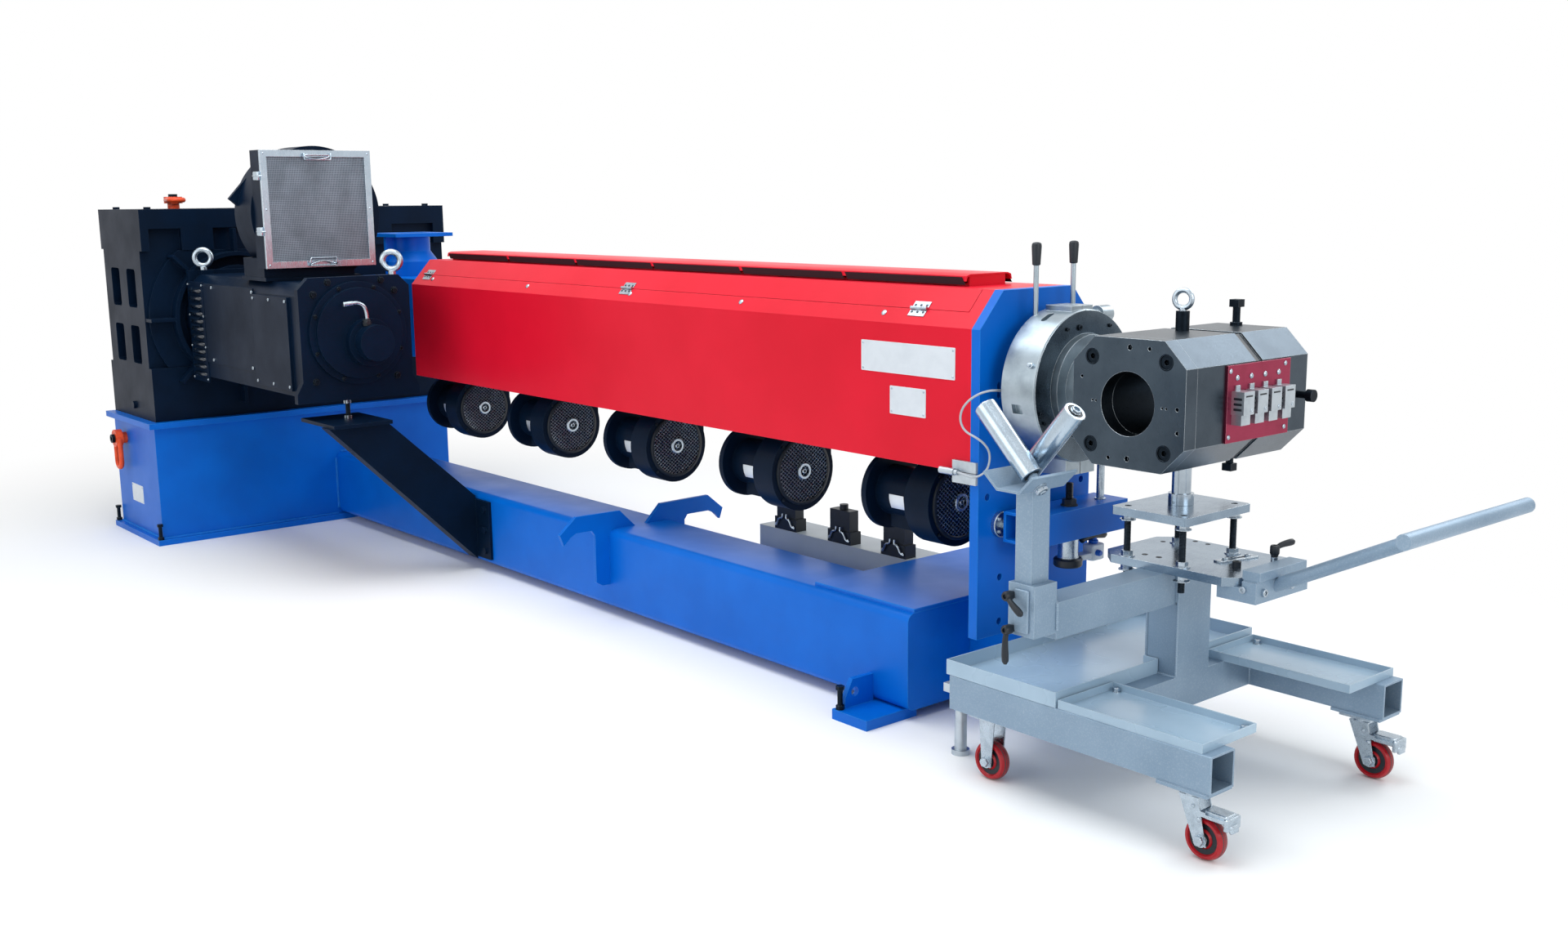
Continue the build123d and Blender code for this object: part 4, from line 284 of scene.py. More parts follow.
# Orange enamel on forged shackles: thick, glossy, chipped to darker patches
orange_enamel = enamel("orange_shackle_enamel", "#F0562A", "#D4431E", "#FF8A5C", 0.35, 6, 0.15, patch=30)
# Pale enamel of the drip trays, glossy, and the light grey of the junction box
tray_enamel = enamel("pale_tray_enamel", "#A8C0D2", "#98B2C6", "#DCE8F0", 0.26, 5, 0.03, shine=0.6, edge=1.5)
box_enamel = enamel("light_grey_box_enamel", "#B4BEC6", "#A6B1BA", "#DDE5EA", 0.36, 6, 0.05, shine=0.4)
# Nitrided tool steel of the crosshead: a dull mid grey, fine grinding lines, edges burnished by handling and
# lightened with a painted highlight
ground_steel = cut_metal("nitrided_tool_steel", "#47525C", "#343E48", "#DDE6EC", 0.32, (1, 1, 0.08), 2.2, 0.02,
                         patch=120)
# Milled and turned mild steel: brighter, with a silky lay
milled_steel = cut_metal("milled_mild_steel", "#A4B0B8", "#77838C", "#E4EBEF", 0.34, (0.1, 1, 1), 2.5, 0.02,
                         patch=70)
# Ground steel of the jacking plates: nearly mirror flat, with a long lay and oily patches
ground_plate = cut_metal("surface_ground_plate", "#8C9EAE", "#74879A", "#E8EEF2", 0.22, (1, 0.1, 1), 2.5, 0.008,
                         patch=80)
# The clamp ring's turned front face: a darker steel than the ring, with rings too fine to count
dark_turned_face_steel = cut_metal("dark_turned_steel", "#5E6A74", "#3E4852", "#D4DEE6", 0.26, (1, 1, 1), 2.0, 0.006,
                        patch=60)
# Hard chrome on the ground pillar: near mirror, cool
hard_chrome = cut_metal("hard_chrome", "#AEBAC4", "#8E9AA6", "#F2F6F8", 0.18, (1, 1, 0.06), 2.5, 0.004, patch=60)
# Polished stainless sheet and rollers: near mirror, a little wavy
stainless = cut_metal("polished_stainless_sheet", "#B6C4D0", "#98A8B6", "#F4F8FA", 0.22, (1, 1, 0.06), 3.0, 0.004,
                      patch=60, stain_share=0.5)
# Zinc plate on pressed steel: pale, slightly bluish, cloudy
zinc_plate = cut_metal("bright_zinc_plate", "#B4C0CA", "#86929D", "#EEF4F8", 0.28, (1, 1, 1), 4.0, 0.02, patch=25,
                       edge=0.8)
# Blackened steel screws: oxide black with a dull sheen
black_oxide = cut_metal("black_oxide_steel", "#1C242C", "#0E141A", "#5C6874", 0.42, (1, 1, 1), 2.0, 0.03, patch=20,
                        edge=0.8)
# Die-cast aluminium plug bodies: light grey, satin
cast_alloy = cut_metal("die_cast_aluminium", "#BCC5CC", "#98A2AB", "#EDF2F5", 0.40, (1, 1, 1), 2.5, 0.05, patch=30,
                       stain_share=0.5, edge=0.8)
# Anodised aluminium in a wine red: satin, with faint milling
wine_anodised = cut_metal("wine_anodised_aluminium", "#9C3450", "#7C2438", "#D88A9C", 0.36, (1, 0.1, 1), 2.5, 0.01,
                          patch=80, stain_share=0.5)
# Bare etched aluminium plates: pale and even
bare_plate = cut_metal("etched_aluminium_plate", "#D6DDE4", "#C2CAD2", "#F4F7FA", 0.42, (0.1, 1, 1), 1.5, 0.01,
                       patch=60, stain_share=0.4, edge=0.5)
# Glass-filled nylon: black, faintly grainy
black_nylon = moulded("glass_filled_nylon", "#10161D", "#1B232C", 0.42, 1.5, 0.05)
# Black stove enamel on pressed louvres: glossy, so that each one carries a line of light
gloss_black = moulded("black_stove_enamel", "#0A1420", "#101C2A", 0.20, 6, 0.02, shine=0.7)
# Painted shadow in the lid's vent openings: the sheet's red darkened to near-black, standing in for the shade
# inside them
vent_shade = moulded("painted_vent_shadow", "#1E0A14", "#2C0C18", 0.6, 1.2, 0.1, shine=0.2)
# Acetal valve body: white, satin
white_acetal = moulded("white_acetal", "#E4EAEE", "#D4DCE2", 0.40, 2, 0.02)
# Blue nylon of push-in fittings and valve knobs
blue_nylon = moulded("blue_nylon", "#1764C8", "#1256B0", 0.35, 2, 0.02)
# Cast polyurethane wheel: deep red, semi-gloss
red_urethane = moulded("cast_polyurethane", "#B8101F", "#9C0C19", 0.30, 3, 0.02)
# Worn tread of the wheel: dull grey-brown with grit pressed in
worn_tread = moulded("worn_polyurethane_tread", "#4A4244", "#5C5254", 0.75, 1.2, 0.15, shine=0.2)
# Cable jacket: light grey PVC with a soft shine
grey_jacket = moulded("grey_pvc_jacket", "#BAC0C6", "#A8AEB4", 0.45, 1, 0.02)
# Stainless wire cloth before the fan's inlet
wire_cloth = woven_wire("stainless_wire_cloth", "#8C98A4", "#222A34", 5)

slot_materials = {
    "blue_paint": blue_enamel, "red_paint": red_powder, "black_paint": black_casting, "grey_paint": silver_enamel,
    "black_steel": black_oxide, "tool_steel": ground_steel, "bright_steel": milled_steel,
    "polished_steel": stainless, "zinc_steel": zinc_plate, "cast_alloy": cast_alloy,
    "black_plastic": black_nylon, "orange_paint": orange_enamel, "tread": red_urethane,
    "cable_jacket": grey_jacket,
}
# Nodes whose finish is a special one of its kind
node_materials = {
    "crosshead_pillar": hard_chrome, "jack_plates": ground_plate, "connector_plate": wine_anodised,
    "drip_trays": tray_enamel, "junction_box": box_enamel,
}
# Edges sharper than this many degrees stay sharp
node_edge_angle, piece_edge_angle = 32, 35


def dress_nodes():
    """Gives each modelled node its material, rejoins its loose faces and splits them again at real edges."""
    slots = {part["node"]: part["material_slot"] for part in frame["record"]["subparts"]}
    for name, shown in nodes.items():
        shown.data.materials.clear()
        shown.data.materials.append(node_materials.get(name, slot_materials[slots[name]]))
        shown.data.polygons.foreach_set("use_smooth", np.ones(len(shown.data.polygons), bool))
        weld = shown.modifiers.new("rejoin_faces", "WELD")
        weld.merge_threshold = 0.00001
        split = shown.modifiers.new("sharp_edges", "EDGE_SPLIT")
        split.split_angle = math.radians(node_edge_angle)


def unit(vector):
    """The vector brought to length one."""
    vector = np.asarray(vector, float)
    return vector / np.linalg.norm(vector, axis=-1, keepdims=True)


def axes(along):
    """Three unit axes square to each other, the first along the given direction."""
    along = unit(along)
    helper = np.array((1.0, 0, 0)) if abs(along[2]) > 0.9 else np.array((0, 0, 1.0))
    side = unit(np.cross(helper, along))
    return along, side, np.cross(along, side)


def skin(rows, wrap=False):
    """A closed surface through rows of points: every row closes on itself and joins the next with four-sided
    faces; the end rows are filled, or joined to each other where the surface wraps. Its signed volume, the sum of
    every face's triple product, tells whether the faces point outwards."""
    rows = np.asarray(rows, float)
    count, width = rows.shape[:2]
    index = np.arange(count * width).reshape(count, width)
    first = index if wrap else index[:-1]
    second = np.roll(index, -1, 0) if wrap else index[1:]
    quads = np.stack([first, np.roll(first, -1, 1), np.roll(second, -1, 1), second], -1).reshape(-1, 4)
    points = rows.reshape(-1, 3)
    corners = points[quads] - points.mean(0)
    volume = np.sum(corners[:, 0] * np.cross(corners[:, 2], corners[:, 3] - corners[:, 1]))
    faces = quads.tolist()
    if not wrap:
        for row, turn in ((index[0], -1), (index[-1], 1)):
            fan = points[row[::turn]] - points.mean(0)
            volume += np.sum(fan[0] * np.cross(fan[1:-1], fan[2:]))
            faces.append(row[::turn].tolist())
    if volume < 0:
        faces = [face[::-1] for face in faces]
    return points, faces


def turned(start, along, profile, sides=24, wrap=False):
    """A surface of revolution: row i lies its distance along the axis and its radius out from it, at equal angles.
    A third number makes the row a polygon with so many corners instead of a circle."""
    along, side, other = axes(along)
    distance, radius, corners = np.array([tuple(row) + (0,) * (3 - len(row)) for row in profile], float).T
    angle = np.arange(sides) * 2 * np.pi / sides
    sector = np.pi / np.maximum(corners, 3)[:, None]
    flat = np.where(corners[:, None] > 0, np.cos(sector) / np.cos(angle % (2 * sector) - sector), 1.0)
    out = radius[:, None] * flat
    ring = np.cos(angle)[:, None] * side + np.sin(angle)[:, None] * other
    rows = start + distance[:, None, None] * along + out[:, :, None] * ring
    return skin(rows, wrap)


def rounded(low, high, corner, steps=3):
    """The outline of a rectangle whose corners are quarter circles."""
    corner = max(min(corner, (high[0] - low[0]) / 2 - 0.01, (high[1] - low[1]) / 2 - 0.01), 0.01)
    angle = np.linspace(0, np.pi / 2, steps + 1)
    quarter = np.stack([np.cos(angle), np.sin(angle)], -1) * corner
    turns = (((1, 0), (0, 1)), ((0, -1), (1, 0)), ((-1, 0), (0, -1)), ((0, 1), (-1, 0)))
    centres = ((high[0] - corner, high[1] - corner), (low[0] + corner, high[1] - corner),
               (low[0] + corner, low[1] + corner), (high[0] - corner, low[1] + corner))
    return np.concatenate([quarter @ np.array(turn, float).T + centre for turn, centre in zip(turns, centres)])


def block(low, high, edge=1.0, corner=1.0, along=2):
    """A box between two corners: its rounded outline is carried along one axis, and drawn in at both ends by the
    bevel of its edge."""
    a, b = [k for k in range(3) if k != along]
    rows = []
    for inset, place in ((edge, low[along]), (0, low[along] + edge), (0, high[along] - edge), (edge, high[along])):
        ring = rounded((low[a] + inset, low[b] + inset), (high[a] - inset, high[b] - inset), corner)
        row = np.empty((len(ring), 3))
        row[:, a], row[:, b], row[:, along] = ring[:, 0], ring[:, 1], place
        rows.append(row)
    return skin(rows)


def carried(path, radius, sides=10, wrap=False, helper=(0, 0, 1)):
    """A round profile carried along a path: at each point a circle square to the path's tangent, whose radius may
    change from point to point."""
    path = np.asarray(path, float)
    ahead = np.roll(path, -1, 0) - np.roll(path, 1, 0) if wrap else np.gradient(path, axis=0)
    tangent = unit(ahead)
    side = unit(np.cross(np.asarray(helper, float), tangent))
    other = np.cross(tangent, side)
    angle = np.arange(sides) * 2 * np.pi / sides
    out = np.broadcast_to(np.asarray(radius, float), len(path))[:, None, None]
    rows = path[:, None] + out * (np.cos(angle)[:, None] * side[:, None] + np.sin(angle)[:, None] * other[:, None])
    return skin(rows, wrap)


def through(points, steps=8):
    """A smooth line through the points: between two of them, the cubic whose slopes at its ends are half the step
    between their neighbours."""
    points = np.asarray(points, float)
    ends = np.concatenate([[2 * points[0] - points[1]], points, [2 * points[-1] - points[-2]]])
    t = np.linspace(0, 1, steps, endpoint=False)[:, None, None]
    a, b, c, d = ends[:-3], ends[1:-2], ends[2:-1], ends[3:]
    runs = 0.5 * (2 * b + (c - a) * t + (2 * a - 5 * b + 4 * c - d) * t ** 2 + (3 * b - a - 3 * c + d) * t ** 3)
    return np.concatenate([runs.transpose(1, 0, 2).reshape(-1, points.shape[1]), points[-1:]])


def cap_screw(place, out, radius, height):
    """A socket head: a cylinder with a small chamfer and a six-sided socket."""
    return turned(place, out, [(-1, radius), (height - 0.8, radius), (height, radius - 0.8),
                               (height, 0.6 * radius, 6), (0.45 * height, 0.56 * radius, 6)])


def hex_bolt(place, out, radius, height):
    """A six-sided head with a chamfered top, on a round washer."""
    return turned(place, out, [(-0.5, 1.45 * radius), (1.6, 1.45 * radius), (1.6, radius * 1.12, 6),
                               (height - 1, radius * 1.12, 6), (height, radius * 0.95)])


def rivet(place, out, radius):
    """A low round head."""
    return turned(place, out, [(-0.5, radius), (0.15 * radius, radius), (0.4 * radius, 0.8 * radius),
                               (0.55 * radius, 0.4 * radius)], 12)


def circle(centre, radius, count, first=0.0):
    """Places at equal angles round a circle that faces along X, the first at so many degrees."""
    angle = np.radians(first + 360 / count * np.arange(count))
    return np.array(centre) + radius * np.stack([0 * angle, np.cos(angle), np.sin(angle)], -1)


def thread(start, pitch, turns, first, second):
    """The rows of a threaded length: its radius goes from the first to the second and back once every pitch."""
    return [row for k in range(turns) for row in ((start + pitch * k, first), (start + pitch * (k + 0.5), second))]


def weld(start, end, radius, ripple=5.0):
    """A weld bead: a round profile carried along its seam, swelling and pinching at each ripple."""
    length = np.linalg.norm(np.subtract(end, start))
    path = np.linspace(start, end, max(int(length / ripple) * 3, 4) + 1)
    place = np.linspace(0, length, len(path))
    helper = (0, 0, 1) if abs(unit(path[-1] - path[0])[2]) < 0.8 else (1, 0.3, 0)
    return carried(path, radius * (1 + 0.16 * np.sin(2 * np.pi * place / ripple)), 8, helper=helper)


def piece(name, shapes, slot, material=None, body="machine", replaces=None):
    """Joins shapes into one mesh in metres, smooth but for its sharp edges, and lets it ride on its body. Its
    material is the one of its slot, unless a special one is given."""
    points, faces, start = [], [], 0
    for shape_points, shape_faces in shapes:
        points.append(shape_points)
        faces += [[corner + start for corner in face] for face in shape_faces]
        start += len(shape_points)
    mesh = bpy.data.meshes.new(name)
    mesh.from_pydata(np.concatenate(points) * mm, [], faces)
    mesh.polygons.foreach_set("use_smooth", np.ones(len(mesh.polygons), bool))
    mesh.set_sharp_from_angle(angle=math.radians(piece_edge_angle))
    mesh.materials.append(material or slot_materials[slot])
    shown = new_object(name, mesh)
    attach(shown, body)
    if replaces:
        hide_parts(replaces)


def on_chamfer(x, across, out, side=-1):
    """A point on the cover's sloping edge: so far up from the lid's seam and out from the sheet."""
    return (x, side * (seam_side - cover_up[1] * across - cover_out[1] * out),
            seam_height + cover_up[2] * across + cover_out[2] * out)


def dress_cover():
    """Studs below the lid's seam, hinge screws, dark strips of painted shadow in the lid's vent openings, and the
    bare plates on the cover and the pedestal."""
    studs = [turned(on_chamfer(x, -21, 0, side), (0, -side * cover_out[1], cover_out[2]),
                    [(-1, 9), (1.5, 9), (3.5, 7), (4.5, 3)], 18)
             for x in (-3111, -2343, -1657, -1039, -388) for side in (-1, 1)]
    piece("cover_studs", studs, "zinc_steel")
    for name, body, across in (("cover_hinge_screws", "machine", -12), ("lid_hinge_screws", "lid", 12)):
        heads = [turned(on_chamfer(x + step, across, 1.5), cover_out,
                        [(0, 4), (1.6, 3.6), (1.6, 2, 6), (0.6, 1.8, 6)], 12)
                 for x in (-3167, -1691, -260) for step in (-22, 0, 22)]
        piece(name, heads, "black_steel", body=body)
    # The dark strips across the vent openings are painted shadow, not a part of the lid
    slots = []
    pitch = (lid_vent_ends[1] - lid_vent_ends[0]) / vent_bays
    for start in lid_vent_ends[0] + pitch * np.arange(vent_bays):
        for side in (-1, 1):
            slots.append(skin([[(x + 14, side * 96.2, roof_height + 5), (x + 14, side * 97, roof_height + 5),
                                (x, side * 97, roof_height + 26), (x, side * 96.2, roof_height + 26)]
                               for x in (start + 8, start + pitch - 8)]))
    piece("vent_painted_shadow", slots, "black_plastic", vent_shade, "lid")
    plates, rivets = [], []
    for low_x, high_x, low_z, high_z, y in (
            (-459, -89, 1014, 1102, -plate_half), (-341, -199, 899, 979, -plate_half),
            (-4517, -4365, 151, 233, pedestal_near)):
        plates.append(block((low_x, y - 1.4, low_z), (high_x, y + 0.5, high_z), 0.3, 3, 1))
        rivets += [rivet((x, y - 1.4, z), near, 3.5)
                   for x in (low_x + 8, high_x - 8) for z in (low_z + 8, high_z - 8)]
    piece("bare_plates", plates, "cast_alloy", bare_plate)
    piece("plate_rivets", rivets, "zinc_steel")


def dress_filter():
    """Wire cloth in the filter's frame, its rivets and side catches, and a bent handle above and below."""
    low, high = (filter_front - 7, motor_axis - 204, 1272), (filter_front - 5.4, motor_axis + 204, 1682)
    piece("filter_cloth", [block(low, high, 0.3, 2, 0)], "polished_steel", wire_cloth)
    catches = []
    for z in (1375, 1590):
        catches.append(block((-3232, -900, z), (-3186, -888, z + 34), 2, 3, 1))
        catches.append(carried(through([(-3228, -902, z + 17), (-3205, -906, z + 17), (-3178, -899, z + 17),
                                        (-3174, -886, z + 17)]), 2.5, 8))
    for z, step in ((1688, -1), (1254, 1)):
        for lean in (0, step):
            grip = through([(-3178, -716, z), (-3162, -714, z + 2 * step), (-3158, -708, z + 9 * lean),
                            (-3158, -664, z + 18 * lean), (-3158, -620, z + 9 * lean), (-3162, -614, z + 2 * step),
                            (-3178, -612, z)])
            catches.append(carried(grip, 2.6, 8))
    catches += [rivet((filter_front, motor_axis + y, z), forward, 4)
                for y in (-216, 216) for z in (1260, 1477, 1694)]
    piece("filter_catches", catches, "polished_steel")


def dress_motor():
    """Screws of the motor's panels and end plate, its louvres, the sensor's gland and elbow, the strut's nuts and
    the top bolt of the fan's rim."""
    heads = [cap_screw((x, motor_face, z), near, 7, 5)
             for x, z in ((-3794, 1150), (-3345, 1150), (-3824, 840), (-3383, 840))]
    heads += [cap_screw((x, motor_face - 1, z), near, 5, 4)
              for x in (-4078, -3912) for z in (1155, 1022, 888, 748)]
    heads += [cap_screw((x, motor_face - 7, z), near, 6, 4)
              for x in (-3322, -3160, -3000) for z in (796, 1128)]
    piece("motor_panel_screws", heads, "zinc_steel")
    slats = [carried([(-4062, -890, z), (-4056, -894, z), (-4040, -897, z), (-3948, -897, z), (-3932, -894, z),
                      (-3926, -890, z)], (3, 8, 11, 11, 8, 3), 12) for z in np.linspace(768, 1130, 12)]
    piece("motor_louvres", slats, "black_paint", gloss_black)
    bolts = [hex_bolt((motor_front, y, z), forward, 10, 10)
             for y, z in ((-830, 1155), (-495, 1158), (-838, 819), (-500, 819), (-549, 1200), (-769, 1200))]
    bolts += [hex_bolt(place, forward, 6, 7)
              for place in circle((motor_front + 17, motor_axis, barrel_height), 188, 8, 22.5)]
    piece("motor_end_bolts", bolts, "black_steel")
    elbow = through([(sensor_x, y, z) for y, z in ((-652, 1040), (-656, 1085), (-666, 1108), (-690, 1120),
                                                   (-716, 1119))])
    piece("sensor_elbow", [carried(elbow, 8, 16, helper=forward),
                           turned(elbow[-1], elbow[-1] - elbow[-2], [(-6, 10), (30, 10), (32, 8)])], "zinc_steel")
    piece("sensor_gland", [turned((sensor_x, -652, 1034), (0, -0.25, 0.97),
                                  [(0, 17, 6), (14, 17, 6), (15, 15), (24, 14), (25, 12)])], "black_plastic")
    nuts = [turned((-2910, -710, z), up, [(0, 13), (0.5, 15.6, 6), (13.5, 15.6, 6), (14, 13)])
            for z in (635, 663, 724)]
    piece("strut_nuts", nuts, "zinc_steel")
    piece("fan_rim_bolts", [hex_bolt((-3278, -628, 1706), forward, 6, 7)], "black_steel")


def dress_blowers():
    """Wire guards on the inlets: two crossing sets of straight wires, chords of the rim's circle, in a black rim,
    a dark floor behind, and a hub. Every blower also has a bare plate bent round its motor and screws round its
    rear disc."""
    guard_radius, motor_radius = 104, 76
    offsets = np.arange(6 - guard_radius, guard_radius - 3, 10)
    reaches = np.sqrt(guard_radius ** 2 - offsets ** 2)
    wires, rims, hubs, floors, plates, screws = [], [], [], [], [], []
    for start in blower_starts:
        front = start + blower_length
        inlet = (front, blower_side, blower_height)
        floors.append(turned(inlet, forward, [(-0.5, guard_radius), (0.5, guard_radius)], 48))
        rims.append(turned(inlet, forward, [(0, 112), (5, 111), (7, 108), (7, 102), (5, 100), (0, 100)], 48,
                           wrap=True))
        for turn in (40, -40):
            across, rise = math.cos(math.radians(turn)), math.sin(math.radians(turn))
            direction, square = np.array(((0, across, rise), (0, -rise, across)))
            for offset, reach in zip(offsets, reaches):
                ends = inlet + square * offset + np.outer((-reach, reach), direction) + (3.5 + turn / 40, 0, 0)
                wires.append(carried(ends, 1.0, 4, helper=forward))
        for outer, inner, height in ((27, 18, 11), (9, 5, 10)):
            ring = [(1, outer), (height - 2, outer), (height, outer - 2), (height, inner), (1, inner)]
            hubs.append(turned(inlet, forward, ring, 32, wrap=True))
        for x, radius, out in ((front, 120, forward), (start, guard_radius, rear)):
            screws += [cap_screw(place, out, 5, 5)
                       for place in circle((x, blower_side, blower_height), radius, 4, 45)]
        # The bare plate reaches 22 mm up and down from 14 degrees below the motor's side, and is 60 mm wide
        angle = math.radians(-14) + np.linspace(-22, 22, 9)[:, None] / motor_radius
        reach = motor_radius + np.array((0.2, 0.2, 1.3, 1.3))
        place_x = start + 108 + np.array((-30, 30, 30, -30))
        plates.append(skin(np.stack([np.broadcast_to(place_x, (9, 4)), blower_side - reach * np.cos(angle),
                                     blower_height + reach * np.sin(angle)], -1)))
    piece("blower_guard_floors", floors, "black_paint")
    piece("blower_guard_rims", rims, "black_plastic", replaces="blower_guards")
    piece("blower_guard_hubs", hubs, "zinc_steel")
    piece("blower_guard_wires", wires, "zinc_steel")
    piece("blower_bare_plates", plates, "cast_alloy", bare_plate)
    piece("blower_screws", screws, "black_steel")


def dress_crosshead():
    """Black seal in the crosshead's groove, rings round its bolts, pins, front face and nipple of the clamp ring,
    rivets of the connector plate and the connectors' vents and screws."""
    corners = np.array([(289, 903), (289, 1097), (353, 1161), (561, 1161), (625, 1097), (625, 903), (561, 839),
                        (353, 839)], float)
    centre = corners.mean(0)
    rows = []
    for inset, y in ((5.5, 86), (3.6, 87), (3.6, 113), (5.5, 114)):
        ring = centre + (corners - centre) * (1 - inset / crosshead_half)
        rows.append(np.stack([ring[:, 0], np.full(8, y), ring[:, 1]], -1))
    piece("crosshead_seal", [skin(rows, wrap=True)], "black_plastic")
    pins = [cap_screw((ring_front, y, z), forward, radius, 6)
            for y, z, radius in ((-30, 1159, 8), (-80, 1157, 5), (-50, 1102, 5), (-118, 957, 5), (-182, 943, 5),
                                 (-165, 916, 5), (97, 1157, 5), (60, 1110, 5))]
    bolt_ring = [(-0.5, 21), (0.4, 21), (0.4, 17.5), (-0.5, 17.5)]
    pins += [turned((x, crosshead_near, z), near, bolt_ring, 36, wrap=True)
             for x in (347, 567) for z in (890, 1110)]
    piece("ring_pins", pins, "black_steel")
    face = [(-0.3, 143), (0.7, 143.6), (0.7, 203), (-0.3, 203.6)]
    piece("ring_front_face", [turned((ring_front, 0, barrel_height), forward, face, 96, wrap=True)],
          "bright_steel", dark_turned_face_steel)
    nipple = [turned((143, -193, 1068), (0, -0.94, 0.34),
                     [(-1, 8, 6), (6, 8, 6), (7, 5), (12, 4.5), (14, 5.5), (17, 3)], 18)]
    nipple += [rivet((connector_face, y, z), forward, 6)
               for y, z in ((-30, 1080), (208, 1082), (-30, 918), (214, 920))]
    piece("ring_nipple_and_rivets", nipple, "zinc_steel")
    vents, screws = [], []
    for y in (-1, 59, 119, 179):
        vents += [block((638, y - 23, z), (661, y - 21, z + 6), 0.4, 1.5, 1) for z in (984, 997, 1010)]
        vents.append(block((666.4, y - 14, 1018), (667.8, y + 14, 1022), 0.4, 1, 0))
        screws.append(cap_screw((667, y + 11, 984), forward, 4.5, 1.5))
        screws.append(rivet((connector_face, y, 1062), forward, 7))
    piece("connector_vents", vents, "black_plastic")
    piece("connector_screws", screws, "zinc_steel")


def dress_rollers():
    """Turned ends of the guide rollers: a bright rim, a dark bearing seal, and the nuts on the axle."""
    rim = [(-1, 26.6), (0.8, 26.6), (1.6, 25.8), (1.6, 20), (0.2, 19.5), (-1, 19.5)]
    seal = [(-0.5, 19.6), (0.6, 19.6), (0.6, 10), (-0.5, 10)]
    for name, start, lean, first in (("near", (481.5, -557, 847.5), -45, 30),
                                     ("far", (391.6, -497, 854.1), 41, 12)):
        along = np.array((math.sin(math.radians(lean)), 0, math.cos(math.radians(lean))))
        last = first + roller_length
        for end, out, side in ((last, along, "top"), (first, -along, "foot")):
            for part, profile, sides, slot in (("rim", rim, 48, "polished_steel"),
                                               ("seal", seal, 36, "black_plastic")):
                shape = turned(start + along * end, out, profile, sides, wrap=True)
                piece(f"roller_{name}_{side}_{part}", [shape], slot, body=f"roller_{name}")
        top = [(1.2, 8.2), (1.2, 13), (2.6, 13), (2.6, 12, 6), (8.4, 12, 6), (9.2, 10), (9.2, 8.2)]
        foot = [(5, 17), (8.2, 17), (8.2, 15.2, 6), (19, 15.2, 6), (20, 13), (20, 7.6), (23, 7)]
        nuts = [turned(start + along * last, along, top, wrap=True), turned(start, -along, foot)]
        piece(f"roller_{name}_nut", nuts, "zinc_steel", body="roller_carrier")


def dress_arm():
    """The plate's arm: pins with bolted flanges, a threaded stop rod, and the lifting cylinder with its valve."""
    flanges, pin = [], [(0, 36), (12, 36), (14, 34), (14, 14.2), (30, 14)]
    for y in (-147, 160):
        flanges.append(turned((0, y, arm_pin_height), forward, pin, 36))
        flanges += [cap_screw(place, forward, 4.5, 4) for place in circle((14, y, arm_pin_height), 25, 4, 45)]
    flanges.append(turned((100, 160, 661), up, [(0, 16), (4, 16), (5, 11), (110, 11), (118, 8)]))
    flanges.append(turned((100, 25, 578), down, [(0, 30), (4, 30), (4, 28), (58, 28), (58, 30), (63, 30)], 36))
    piece("arm_pins", flanges, "zinc_steel", replaces="arm_fittings")
    rod = [(0, 24), (3, 24), (3, 20, 6), (18, 20, 6), (19, 18)] + thread(20, 4, 11, 9.2, 11) + [(64, 8)]
    handle = through([(100, 80, 552), (100, 95, 558), (100, 140, 560), (100, 188, 556)], 6)
    width = np.interp(np.linspace(0, 1, len(handle)), (0, 0.05, 0.5, 0.95, 1), (6, 9, 9, 11, 7))
    piece("arm_cylinder_foot", [turned((100, 25, 515), down, [(0, 36), (4, 40), (20, 40), (24, 37)], 36),
                                turned((100, 25, 662), up, rod), carried(handle, width, 12)], "black_plastic")
    piece("arm_valve", [block((80, 110, 492), (120, 162, 538), 3, 6),
                        block((84, 64, 500), (116, 112, 516), 1.5, 3)], "cast_alloy", white_acetal)
    piece("arm_valve_knob", [turned((100, 135, 538), up, [(-1, 12), (6, 14), (9, 14), (12, 10), (18, 9)]),
                             turned((121, 128, 515), forward, [(-1, 9), (8, 9), (9, 7), (13, 6.5)], 18)],
          "blue_paint", blue_nylon)


